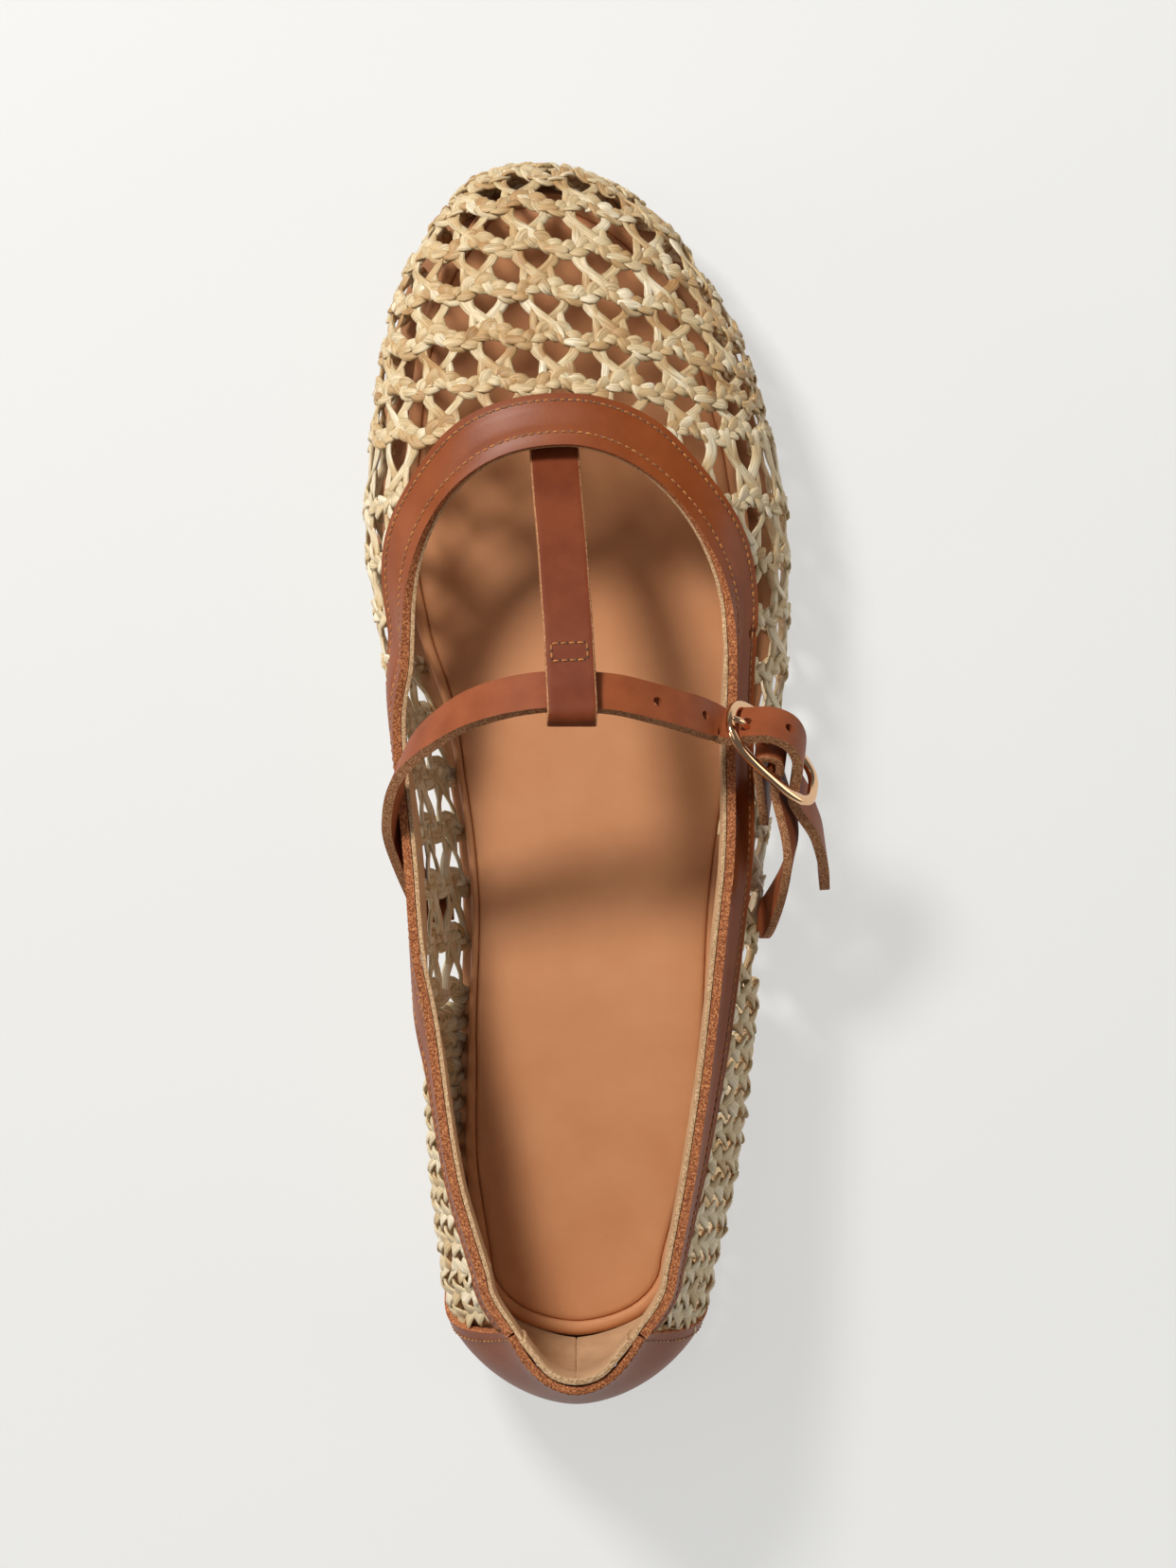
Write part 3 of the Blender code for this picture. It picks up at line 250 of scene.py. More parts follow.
COLLAR_ROWS = np.array([
    (SIDE_RUN - 125.5, 40.4), (SIDE_RUN - 105.5, 41.0), (SIDE_RUN - 75.5, 43.6), (SIDE_RUN - 45.5, 47.0),
    (SIDE_RUN - 20.5, 51.2), (SIDE_RUN, 54.6), (FULL_RUN, 58.0)])
PROFILE_STEPS = 40
ROOTS = np.linspace(0.12, math.sqrt(FULL_RUN), 420)  # stations, by the root of their run
ARC_STEPS = 72
print("last:", len(LAST_ROWS), "sections,", round(FULL_RUN), "mm from toe tip to heel")

# %% [markdown]
# Between the rows of the table, a smooth curve that adds no bumps gives every other section. A half section
# runs from the ridge, over the widest place, down to the feather line, where the upper turns under.

# %% Sections of the last

def monotone(x, y, at):
    """A cubic through the points that adds no bumps between them."""
    step, at = np.diff(x), np.asarray(at, dtype=float)
    slope = np.diff(y) / step
    tangent = np.concatenate([[slope[0]], np.zeros(len(x) - 2), [slope[-1]]])
    rising = slope[:-1] * slope[1:] > 0
    first, second = 2 * step[1:] + step[:-1], step[1:] + 2 * step[:-1]
    before, after = np.where(rising, slope[:-1], 1.0), np.where(rising, slope[1:], 1.0)
    tangent[1:-1] = np.where(rising, (first + second) / (first / before + second / after), 0.0)
    i = np.clip(np.searchsorted(x, at) - 1, 0, len(x) - 2)
    t = (at - x[i]) / step[i]
    return (
        y[i] * (1 + 2 * t) * (1 - t) ** 2 + y[i + 1] * t * t * (3 - 2 * t)
        + step[i] * (tangent[i] * t * (1 - t) ** 2 + tangent[i + 1] * t * t * (t - 1)))


def last(column, s):
    """A column of the last at run s. The root of the run keeps the toe round."""
    roots = np.sqrt(TOE_TIP_Y - LAST_ROWS[:, 0])
    values = LAST_ROWS[:, LAST_COLUMNS.index(column)]
    return monotone(roots, values, np.sqrt(np.clip(s, 0.0, SIDE_RUN)))


def collar_height(s):
    return float(monotone(COLLAR_ROWS[:, 0], COLLAR_ROWS[:, 1], max(s, COLLAR_ROWS[0, 0])))


def eased(share):
    share = np.clip(share, 0, 1)
    return share**2 * (3 - 2 * share)


def profile(side, s):
    """Points of one half section from ridge to feather line, with their arcs.
    The vamp is vaulted. Behind the throat the wall stands free and draws in towards its collar."""
    sign = 1 if side == "outer" else -1
    half, bulge = float(last(side + "_half", s)), float(last(side + "_bulge_z", s))
    tuck, feather = float(last(side + "_tuck", s)), float(last("feather_z", s))
    ridge, full = float(last("ridge_z", s)), float(last("fullness", s))
    pinch = float(last(side + "_pinch", s))
    if s <= SIDE_RUN:
        origin, out = np.array((float(last("ridge_x", s)), TOE_TIP_Y - s)), np.array((sign, 0.0))
        near = np.array((max(math.sqrt(s) - 0.05, 0.0), math.sqrt(s) + 0.05)) ** 2
        edge = last("ridge_x", near) + sign * last(side + "_half", near)
        tangent = np.array((edge[1] - edge[0], near[0] - near[1]))
        inward = np.array((-tangent[1], tangent[0])) * sign
        tuck_out = inward / np.linalg.norm(inward)
    else:
        angle = (s - SIDE_RUN) / HEEL_PERIMETER_R
        origin = np.array((HEEL_X, HEEL_Y))
        out = tuck_out = np.array((sign * math.cos(angle), -math.sin(angle)))
        parts = abs(math.cos(angle)) / half, abs(math.sin(angle)) / HEEL_REACH
        half = sum(part**HEEL_ROUNDNESS for part in parts) ** (-1 / HEEL_ROUNDNESS)
        bulge += (HEEL_BULGE_Z - bulge) * math.sin(angle) ** 2
        pinch += (HEEL_PINCH - pinch) * math.sin(angle) ** 2 + CORNER_PINCH * math.sin(2 * angle) ** 2
    turn, low = np.linspace(math.pi / 2, 0, PROFILE_STEPS), np.linspace(1, 0, PROFILE_STEPS)[1:]
    rise = bulge + (ridge - bulge) * np.sin(turn) ** (2 / full)
    vault = half * np.clip(np.cos(turn), 0, 1) ** (2 / full)
    wall = half - pinch * eased((rise - bulge) / max(collar_height(s) - FREE_EDGE - bulge, LEAST_CLIMB))
    over = vault + (wall - vault) * eased((s - TOE_TIP_Y + WALL_START_Y) / WALL_BLEND)
    under = tuck * (1 - low) ** 2
    plan = np.vstack([origin + out * over[:, None], origin + out * half - tuck_out * under[:, None]])
    away = np.concatenate([over, half - under])
    height = np.concatenate([rise, feather + (bulge - feather) * low])
    arc = np.concatenate([[0.0], np.cumsum(np.hypot(np.diff(away), np.diff(height)))])
    return np.column_stack([plan, height]), arc, away


print("collar at the heel:", round(collar_height(FULL_RUN), 1), "mm high")

# %% [markdown]
# Strands are laid by the thousand, so the wall is worked out once on a fine grid. Places between its points
# are looked up with their normals, which is much quicker than working out a section for each.

# %% Faces of the wall

def wall_grid(side):
    """Points and outward normals of one side on an even grid of arcs, and the arc of its feather line."""
    rows, reach = [], []
    for root in ROOTS:
        points, arc, _ = profile(side, root * root)
        even = np.linspace(0, arc[-1], ARC_STEPS)
        rows.append(np.column_stack([np.interp(even, arc, points[:, k]) for k in range(3)]))
        reach.append(arc[-1])
    grid = np.array(rows)
    normal = np.cross(np.gradient(grid, axis=0), np.gradient(grid, axis=1))
    normal *= 1 if side == "outer" else -1
    return grid, normal / np.linalg.norm(normal, axis=2, keepdims=True), np.array(reach)


WALL_GRIDS = {side: wall_grid(side) for side in ("inner", "outer")}


def feather_arc(side, s):
    return np.interp(np.sqrt(s), ROOTS, WALL_GRIDS[side][2])


def on_wall(s, u, lift=0.0):
    """Points and normals on the wall at runs s and signed arcs u, raised by lift."""
    s, u, lift = np.broadcast_arrays(*(np.asarray(v, dtype=float) for v in (s, u, lift)))
    found = np.zeros((2, *s.shape, 3))
    for side, mask in (("inner", u < 0), ("outer", u >= 0)):
        points, normals, reach = WALL_GRIDS[side]
        row = np.interp(np.sqrt(np.clip(s[mask], 0, FULL_RUN)), ROOTS, np.arange(len(ROOTS)))
        share = np.abs(u[mask]) / np.interp(row, np.arange(len(ROOTS)), reach)
        column = np.clip(share, 0, 1) * (ARC_STEPS - 1)
        i, j = np.minimum(row.astype(int), len(ROOTS) - 2), np.minimum(column.astype(int), ARC_STEPS - 2)
        a, b = (row - i)[:, None], (column - j)[:, None]
        for k, field in enumerate((points, normals)):
            found[k][mask] = (
                field[i, j] * (1 - a) * (1 - b) + field[i + 1, j] * a * (1 - b)
                + field[i, j + 1] * (1 - a) * b + field[i + 1, j + 1] * a * b)
    normal = found[1] / np.linalg.norm(found[1], axis=-1, keepdims=True)
    return found[0] + normal * lift[..., None], normal


print("feather line at the ball:", round(float(feather_arc("outer", TOE_TIP_Y - 50.0)), 1), "mm down")

# %% [markdown]
# The opening has a rounded throat in front and a collar that rises to the heel. Leather covers the
# raffia for ten millimetres round it, so strands are left out where they'd be hidden.

# %% Throat and collar
THROAT_X, THROAT_BACK_Y, THROAT_LENGTH = -4.0, 30.0, 35.6
THROAT_HALF = {"inner": 29.8, "outer": 30.2}
THROAT_POWER = {"inner": 2.3, "outer": 1.87}
COLLAR_BLEND = 25.0
COVER_WIDTH = 10.0
SIGN = {"inner": -1, "outer": 1}


def throat_half(side, y, grow=0.0):
    """Half width of the throat at y, or of its outline moved out by grow."""
    share = np.clip((y - THROAT_BACK_Y) / (THROAT_LENGTH + grow), 0, 1)
    power = THROAT_POWER[side]
    return (THROAT_HALF[side] + grow) * (1 - share**power) ** (1 / power)


def collar_edge(side, s):
    """Arc from the ridge to the edge of the opening, worked out from its section."""
    points, arc, away = profile(side, s)
    if TOE_TIP_Y - s > THROAT_BACK_Y:
        off_ridge = SIGN[side] * (THROAT_X - float(last("ridge_x", s)))
        edge = max(throat_half(side, TOE_TIP_Y - s) + off_ridge, 0.0)
        return float(np.interp(edge, away[:PROFILE_STEPS], arc[:PROFILE_STEPS]))
    height, start = collar_height(s), COLLAR_ROWS[0, 0]
    if s < start + COLLAR_BLEND:
        throat_points, throat_arc, _ = profile(side, start)
        throat_z = float(np.interp(collar_edge(side, start - 0.01), throat_arc, throat_points[:, 2]))
        height = throat_z + (height - throat_z) * (s - start) / COLLAR_BLEND
    return float(np.interp(-height, -points[:, 2], arc))


THROAT_RUN = TOE_TIP_Y - THROAT_BACK_Y - THROAT_LENGTH
COLLAR_RUNS = THROAT_RUN + (FULL_RUN - THROAT_RUN) * np.linspace(0, 1, 500) ** 2
COLLAR_ARCS = {side: np.array([collar_edge(side, s) for s in COLLAR_RUNS]) for side in SIGN}


def collar_arc(side, s):
    return np.interp(s, COLLAR_RUNS, COLLAR_ARCS[side])


def under_leather(side, s, u, reach):
    """Whether a place on the wall is within reach of the opening's edge."""
    y = TOE_TIP_Y - s
    if y > THROAT_BACK_Y:
        x = on_wall(s, SIGN[side] * u)[0][0]
        return abs(x - THROAT_X) < throat_half(side, y, reach) and y < THROAT_BACK_Y + THROAT_LENGTH + reach
    return u - collar_arc(side, s) < reach


print("throat edge at", round(TOE_TIP_Y - THROAT_RUN, 1), "mm")

# %% [markdown]
# Raffia strands are many and small, so they are made as arrays and joined into one mesh for each area.
# A strand is a flattened tube that swells and narrows like a folded leaf. The UV map holds
# millimetres across and along it, and the shade attribute is drifting, as one leaf is joined to the next.

# %% Strand maker
STRAND_SIDES, LEAF_LENGTH, SHADE_SPREAD = 8, 4.5, 0.3
CAP_QUADS = np.array([(0, 1, 2, 7), (7, 2, 3, 6), (6, 3, 4, 5)])


class StrandPile:
    """Collects strands as arrays, then joins them into one mesh."""

    def __init__(self, lift=0.0, paleness=0.5):
        self.lift, self.paleness = lift, paleness  # how far out strands lie, and their mean shade
        self.points, self.faces, self.uvs, self.shades, self.count = [], [], [], [], 0

    def add(self, centres, wide, thin, half_width, half_thick, shade=None):
        """One strand along centres, with its broad and thin directions. It may have one shade all along."""
        n = len(centres)
        turn = 2 * math.pi * (np.arange(STRAND_SIDES) + 0.5) / STRAND_SIDES
        across = np.sign(np.cos(turn)) * np.abs(np.cos(turn)) ** 0.8
        rings = (
            centres[:, None] + wide[:, None] * (half_width[:, None] * across)[..., None]
            + thin[:, None] * (half_thick[:, None] * np.sin(turn))[..., None])
        ring, k = np.meshgrid(np.arange(n - 1), np.arange(STRAND_SIDES), indexing="ij")
        after = (k + 1) % STRAND_SIDES
        quads = np.stack(
            [ring * STRAND_SIDES + k, ring * STRAND_SIDES + after,
             (ring + 1) * STRAND_SIDES + after, (ring + 1) * STRAND_SIDES + k], axis=-1).reshape(-1, 4)
        faces = np.vstack([quads, CAP_QUADS[:, ::-1], CAP_QUADS + (n - 1) * STRAND_SIDES])
        along = np.concatenate([[0.0], np.cumsum(np.linalg.norm(np.diff(centres, axis=0), axis=1))])
        uv = np.stack(np.broadcast_arrays(half_width[:, None] * across, along[:, None]), axis=-1)
        joints = np.arange(0, along[-1] + 9, LEAF_LENGTH)
        if shade is None:
            drift = np.interp(along, joints, rng.normal(self.paleness, SHADE_SPREAD, len(joints)))
        else:
            drift = np.full(n, shade)
        self.points.append(rings.reshape(-1, 3))
        self.faces.append(faces + self.count)
        self.uvs.append(uv.reshape(-1, 2) + rng.uniform(0, 90, 2))
        self.shades.append(np.repeat(np.clip(drift, 0, 1), STRAND_SIDES))
        self.count += n * STRAND_SIDES

    def join(self, name, finish):
        """The finished piece."""
        mesh = bpy.data.meshes.new(name)
        points = (np.vstack(self.points) + SHIFT) * MM
        mesh.from_pydata(points.tolist(), [], np.vstack(self.faces).tolist())
        mesh.shade_smooth()
        shades = mesh.attributes.new("shade", "FLOAT", "POINT")
        shades.data.foreach_set("value", np.concatenate(self.shades).astype(np.float32))
        corners = np.empty(len(mesh.loops), np.int32)
        mesh.loops.foreach_get("vertex_index", corners)
        layer = mesh.uv_layers.new(name="strand")
        layer.uv.foreach_set("vector", np.vstack(self.uvs)[corners].astype(np.float32).ravel())
        mesh.materials.append(finish)
        piece = bpy.data.objects.new(name, mesh)
        bpy.context.scene.collection.objects.link(piece)
        mesh.calc_loop_triangles()
        print(name, len(mesh.loop_triangles), "triangles")
        return piece


def unit(vectors):
    return vectors / np.linalg.norm(vectors, axis=-1, keepdims=True)


def even_path(s, u, step):
    """The same path with its places evenly spaced along the wall."""
    points, _ = on_wall(s, u)
    run = np.concatenate([[0.0], np.cumsum(np.linalg.norm(np.diff(points, axis=0), axis=1))])
    even = np.linspace(0, run[-1], max(int(run[-1] / step), 4))
    return np.interp(even, run, s), np.interp(even, run, u), even


def rolled(normal, heading, roll):
    """Broad and thin directions of a strand on the wall, turned by roll about its own length."""
    flat = unit(np.cross(normal, heading))
    upright = np.cross(heading, flat)
    turn = roll[:, None]
    return flat * np.cos(turn) + upright * np.sin(turn), upright * np.cos(turn) - flat * np.sin(turn)


print("strand maker ready")

# %% [markdown]
# The bands of the lattice are plaits of three strands. In a plait each strand swings from side to
# side and goes over, then under, once for each swing, so a sine gives its place across the band
# and a sine of twice the angle its height. Leaves are widest where they lie on top.

# %% Plaits
PLAIT_STEP, PLAIT_PERIOD = 0.62, 9.2
PLAIT_SWING, PLAIT_RISE, PLAIT_LIFT = 1.15, 0.5, -0.45
LEAF_HALF_WIDTH, LEAF_HALF_THICK = 1.02, 0.42
COLUMN_PITCH, COLUMN_DRIFT = 6.1, 0.8  # between holes, and how far they move out from one row to the next
TUCK_LIFT, TUCK_RUN = 1.0, 7.0  # how plaits rise behind the lining
CLOSE_LIFT = 2.0  # and larger plaits all along, for each unit of scale
WANDER, LOOSENESS, LEAF_ROLL = 0.05, 0.12, 0.35
SWELL_ON_TOP, SWELL_SPREAD, FOLD_LENGTH = 0.28, 0.13, 3.0
PLAIT_SWAY = 1.15  # how far a plait is drawn back where two strands leave it


def add_plait(pile, s, u, scale=1.0, tuck_lift=0.0):
    """A three-strand plait along a path on the wall, at a scale, with its first end raised."""
    s, u, run = even_path(np.asarray(s, float), np.asarray(u, float), PLAIT_STEP)
    lift = pile.lift + PLAIT_LIFT + CLOSE_LIFT * (scale - 1) + tuck_lift * (1 - eased(run / TUCK_RUN))
    middle, normal = on_wall(s, u, lift)
    along = unit(np.gradient(middle, axis=0))
    across = unit(np.cross(normal, along))
    start = rng.uniform(0, 2 * math.pi)
    wander = np.cumsum(rng.normal(0, WANDER, len(run)))
    for strand in range(3):
        angle = 2 * math.pi * (run / PLAIT_PERIOD / scale + strand / 3) + start + wander
        rise = np.sin(2 * angle)
        loose = np.interp(run, np.linspace(0, run[-1] + 1, 12), rng.normal(0, LOOSENESS, 12))
        centres = (
            middle + across * (PLAIT_SWING * scale * np.sin(angle) + loose)[:, None]
            + normal * (PLAIT_RISE * scale * rise)[:, None])
        heading = unit(np.gradient(centres, axis=0))
        wide, thin = rolled(normal, heading, LEAF_ROLL * np.cos(angle) + rng.normal(0, LOOSENESS))
        folds = np.arange(0, run[-1] + 2 * FOLD_LENGTH, FOLD_LENGTH)
        swell = 1 + SWELL_ON_TOP * rise + np.interp(run, folds, rng.normal(0, SWELL_SPREAD, len(folds)))
        half_thick = LEAF_HALF_THICK * (1.1 - 0.15 * rise)
        pile.add(centres, wide, thin, LEAF_HALF_WIDTH * scale * swell, half_thick)


def sway(u, middle):
    """How far back a plait lies at arc u, when one of the places that strands leave from is at middle."""
    return PLAIT_SWAY * np.cos(math.pi * (u - middle) / COLUMN_PITCH)


def add_leaf(pile, s, u, lift, half_width):
    """A short strand with pointed ends."""
    centres, normal = on_wall(s, u, pile.lift + lift)
    heading = unit(np.gradient(centres, axis=0))
    flat = unit(np.cross(normal, heading))
    taper = np.sin(math.pi * np.linspace(0.06, 0.94, len(s))) ** 0.6
    pile.add(centres, flat, np.cross(heading, flat), half_width * taper, 0.38 * taper)


VAMP_BANDS = (  # y on the ridge, skew across, bend towards the heel
    (121.0, 0.0, 5.0), (114.4, 0.04, 4.0), (106.0, 0.07, 4.0), (96.8, 0.07, 3.5),
    (87.5, 0.06, 2.5), (78.1, 0.03, 1.0), (68.8, 0.0, 0.0))
BEND_HALF_WIDTH, BEND_LIMIT = 30.0, 36.0


def vamp_run(band, u):
    """Run of a band across the vamp at signed arc u."""
    centre_y, skew, bend = band
    across = np.clip(u, -BEND_LIMIT, BEND_LIMIT)
    return TOE_TIP_Y - centre_y + skew * across + bend * (across / BEND_HALF_WIDTH) ** 2


def vamp_ends(band):
    """Signed arcs at which a band reaches the feather line."""
    ends = []
    for side in SIGN:
        u = 40.0 * SIGN[side]
        for _ in range(20):
            u = SIGN[side] * float(feather_arc(side, vamp_run(band, u)))
        ends.append(u)
    return ends


def leaving_place(number):
    """Arc of one of the places on a vamp plait that two strands leave from."""
    return COLUMN_PITCH / 2 + COLUMN_DRIFT * (number - 2)


vamp_pile = StrandPile()
for number, band in enumerate(VAMP_BANDS):
    arcs = np.linspace(*vamp_ends(band), 320)
    add_plait(vamp_pile, vamp_run(band, arcs) + sway(arcs, leaving_place(number)), arcs)
TOE_SHARES = (0.5, 0.68, 0.86, 1.0)  # of the way down to the feather line, for plaits round the toe
for share in TOE_SHARES:
    roots = np.linspace(-2.5, 2.5, 60)
    sides = np.where(roots < 0, -feather_arc("inner", roots**2), feather_arc("outer", roots**2))
    add_plait(vamp_pile, roots**2, share * sides)
print("vamp plaits:", len(VAMP_BANDS) + len(TOE_SHARES))

# %% [markdown]
# Single strands run to and fro between the plaits and make the holes. Two of them start a little
# apart on one plait and cross just before the next, so that the holes are rounded wedges,
# wide end forward in one and back in the next.

# %% Crossing strands of the vamp
STRUT_STEPS = 14
STRUT_FOOT, STRUT_TRAVEL = 1.0, 6.0
STRUT_HALF_WIDTH, STRUT_FLARE, STRUT_HALF_THICK = 1.08, 0.35, 0.4
CROSSING = 0.74  # share of the way at which two strands cross
OVER_UNDER = (-0.3, 1.0)  # lift of even and odd strands where they cross
END_LEAF = np.array([(0.42, 3.3), (0.6, 3.5), (1.0, 3.0)])  # share of the way, and place across
END_LEAF_WIDTH, SIDE_LEAF_WIDTH, LATTICE_LEAF_WIDTH = 0.9, 0.75, 0.8
WRAP_REACH, WRAP_BACK, WRAP_LIFT, WRAP_WIDTH = np.linspace(-4.2, 0.6, 9), 1.2, 0.25, 1.05
SIDE_LEAF, SIDE_LEAF_START = 1.7, 0.62  # a second strand beside every other one, and where it joins it


def add_strut(pile, s, u, over):
    """A single flat strand along a path from one plait to the next."""
    share = np.linspace(0, 1, len(s))
    lift = pile.lift + PLAIT_LIFT - 0.1 + over * 0.45 * np.exp(-(((share - CROSSING) / 0.16) ** 2))
    centres, normal = on_wall(s, u, lift)
    heading = unit(np.gradient(centres, axis=0))
    wide, thin = rolled(normal, heading, rng.normal(0, 0.25) + rng.normal(0, 0.5) * (share - 0.5))
    half_width = rng.uniform(0.9, 1.12) * (STRUT_HALF_WIDTH + STRUT_FLARE * (2 * share - 1) ** 2)
    pile.add(centres, wide, thin, half_width, np.full(len(s), STRUT_HALF_THICK))


def strut_arcs(u, leans_back):
    """Arcs along a strut: upright near the first plait, then slanting to where it crosses its neighbour."""
    share = np.linspace(-0.05, 1.08, STRUT_STEPS)
    sign = -1 if leans_back else 1
    return u + sign * (STRUT_TRAVEL * eased((share - 0.2) / 0.8) - STRUT_FOOT), share


def side_leaf(arcs, share):
    """Arcs of the short strand beside the start of a strut, and its shares of the way."""
    at = np.linspace(0.05, SIDE_LEAF_START, 8)
    return np.interp(at, share, arcs) + SIDE_LEAF * (1 - eased(at / SIDE_LEAF_START)), at


def end_leaf(u, leans_back):
    """The same for the strand that goes straight on to the next plait where a strut turns aside."""
    at = np.linspace(END_LEAF[0, 0], 1.0, 8)
    sign = -1 if leans_back else 1
    return u + sign * (np.interp(at, *END_LEAF.T) - COLUMN_PITCH / 2), at


LEATHER_HIDES = 5.0  # a strut this far in from the leather's outer edge is left out
END_HIDES = 3.0  # and so is one that ends this near the opening
FEATHER_CLEAR = 4.0
for number, (ahead, behind) in enumerate(zip(VAMP_BANDS, VAMP_BANDS[1:])):
    reach = [u - math.copysign(FEATHER_CLEAR, u) for u in vamp_ends(ahead)]
    for column in range(-12, 13):
        base = column * COLUMN_PITCH + COLUMN_DRIFT * (number - 2)
        if not reach[0] < base < reach[1]:
            continue
        arcs, share = strut_arcs(base, column % 2 == 0)
        first, second = vamp_run(ahead, arcs), vamp_run(behind, arcs)
        runs = np.maximum(first + (second - first) * share, 0.05)
        side = "outer" if base >= 0 else "inner"
        if under_leather(side, float(runs[STRUT_STEPS // 2]), abs(base), COVER_WIDTH - LEATHER_HIDES):
            continue
        add_strut(vamp_pile, runs, arcs, OVER_UNDER[column % 2])
        beside, at = end_leaf(base, column % 2 == 0)
        add_leaf(vamp_pile, np.interp(at, share, runs), beside, PLAIT_LIFT, END_LEAF_WIDTH)
        if column % 2:
            beside, at = side_leaf(arcs, share)
            add_leaf(vamp_pile, np.interp(at, share, runs), beside, PLAIT_LIFT, SIDE_LEAF_WIDTH)
        else:
            across = base + COLUMN_PITCH / 2 + WRAP_REACH
            wrap = np.maximum(vamp_run(ahead, across) + WRAP_BACK, 0.05)
            add_leaf(vamp_pile, wrap, across, WRAP_LIFT, WRAP_WIDTH)
raffia_vamp = vamp_pile.join("raffia_vamp", raffia)

# %% [markdown]
# Down the sides the plaits stand upright, from the leather to the sole, and run round the heel. Ahead
# of the arch's back end the walls are open lattice. Behind it the plaits lie side by side and close
# the wall. Places along the walls are counted from the outer throat, round the heel, to the inner throat.

# %% Sides of the upper
SIDE_START_Y, SIDE_BANDS, LATTICE_END_Y = 55.3, 37, -46.0
SIDE_START = TOE_TIP_Y - SIDE_START_Y
SIDE_PITCH = 2 * (FULL_RUN - SIDE_START) / (SIDE_BANDS - 1)
CLOSE_PLAITS, CLOSE_SCALE = 2, 1.4  # plaits to a pitch where the wall is closed, and their size
COUNTER_START = SIDE_RUN + 16.0  # plaits further back are hidden between counter and lining
COLLAR_TUCK, OUTER_LIFT, SIDE_PALENESS = 4.5, 0.6, 0.75
CLOSE_TUCK_LIFT, SIDE_STEPS = 0.3, 90
LOW_START, LOW_START_Y, LOW_START_HALF = 2.6, 18.0, 22.0  # plaits start lower beside the inner throat
SIDE_LEAVING = COLUMN_PITCH / 2 - FEATHER_CLEAR  # arc from the feather line where two strands leave


def side_station(q):
    """Side and run of a place q along the walls."""
    half = FULL_RUN - SIDE_START
    return ("outer", SIDE_START + q) if q <= half else ("inner", SIDE_START + 2 * half - q)


def add_side_plait(pile, q, swaying):
    """An upright plait from behind the binding to the sole, drawn to and fro where the wall is open."""
    side, s = side_station(q)
    tuck = COLLAR_TUCK
    if side == "inner" and abs(TOE_TIP_Y - s - LOW_START_Y) < LOW_START_HALF:
        tuck += LOW_START
    arcs = np.linspace(collar_arc(side, s) + tuck, feather_arc(side, s), SIDE_STEPS)
    runs = np.full(SIDE_STEPS, s)
    if swaying:
        back = sway(arcs - feather_arc(side, s), SIDE_LEAVING)
        add_plait(pile, runs + back, SIGN[side] * arcs, 1.0, TUCK_LIFT)
    else:
        add_plait(pile, runs, SIGN[side] * arcs, CLOSE_SCALE, CLOSE_TUCK_LIFT)


def add_side_struts(pile, ahead, behind, hides):
    """Crossing strands between two upright plaits, up to the leather."""
    (side, first), (_, second) = ahead, behind
    middle = (first + second) / 2
    for column in range(9):
        up = FEATHER_CLEAR + column * COLUMN_PITCH
        base = float(feather_arc(side, middle)) - up
        if base < 0 or hides(side, middle, base):
            break
        arcs, share = strut_arcs(-up, column % 2 == 0)
        runs = first + (second - first) * share
        ends = [(float(runs[k]), float(feather_arc(side, runs[k]) + arcs[k])) for k in (0, -1)]
        if any(under_leather(side, *end, END_HIDES) for end in ends):
            continue
        add_strut(pile, runs, SIGN[side] * (feather_arc(side, runs) + arcs), OVER_UNDER[column % 2])
        for beside, at in (side_leaf(arcs, share), end_leaf(-up, column % 2 == 0))[1 - column % 2:]:
            at_runs = np.interp(at, share, runs)
            at_arcs = SIGN[side] * (feather_arc(side, at_runs) + beside)
            add_leaf(pile, at_runs, at_arcs, PLAIT_LIFT, LATTICE_LEAF_WIDTH)


def near_collar(side, s, u):
    return under_leather(side, s, u, COVER_WIDTH - LEATHER_HIDES)


piles = {"inner": StrandPile(0.0, SIDE_PALENESS), "outer": StrandPile(OUTER_LIFT, SIDE_PALENESS)}
for number in range(SIDE_BANDS):
    q = number * SIDE_PITCH
    side, s = side_station(q)
    if s > COUNTER_START:
        continue
    is_open = TOE_TIP_Y - side_station(q + SIDE_PITCH / 2)[1] > LATTICE_END_Y
    add_side_plait(piles[side], q, is_open)
    if number == SIDE_BANDS - 1:
        break
    if is_open:
        add_side_struts(piles[side], side_station(q), side_station(q + SIDE_PITCH), near_collar)
    else:
        for step in range(1, CLOSE_PLAITS):
            if side_station(q + SIDE_PITCH * step / CLOSE_PLAITS)[1] < COUNTER_START:
                add_side_plait(piles[side], q + SIDE_PITCH * step / CLOSE_PLAITS, False)
for side in SIGN:
    last_band = VAMP_BANDS[-1]
    add_side_struts(piles[side], (side, TOE_TIP_Y - last_band[0]), (side, SIDE_START), near_collar)
raffia_inner_side = piles["inner"].join("raffia_inner_side", raffia)
raffia_outer_side = piles["outer"].join("raffia_outer_side", raffia)
for piece in (raffia_vamp, raffia_inner_side, raffia_outer_side):
    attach(piece, "root")
    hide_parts("upper")

# %% [markdown]
# Leather pieces are cut flat, laid on the last and pressed down, and they are made here in the same
# order. A flat grid is added, its vertices are moved to their places, Solidify gives the leather its
# thickness with the rim in the colour of a cut edge, and Bevel takes off the sharp corners.

# %% Tools for leather
EDGE_ANGLE = math.radians(50)


def deselect():
    if bpy.context.mode != "OBJECT":
        bpy.ops.object.mode_set(mode="OBJECT")
    bpy.ops.object.select_all(action="DESELECT")


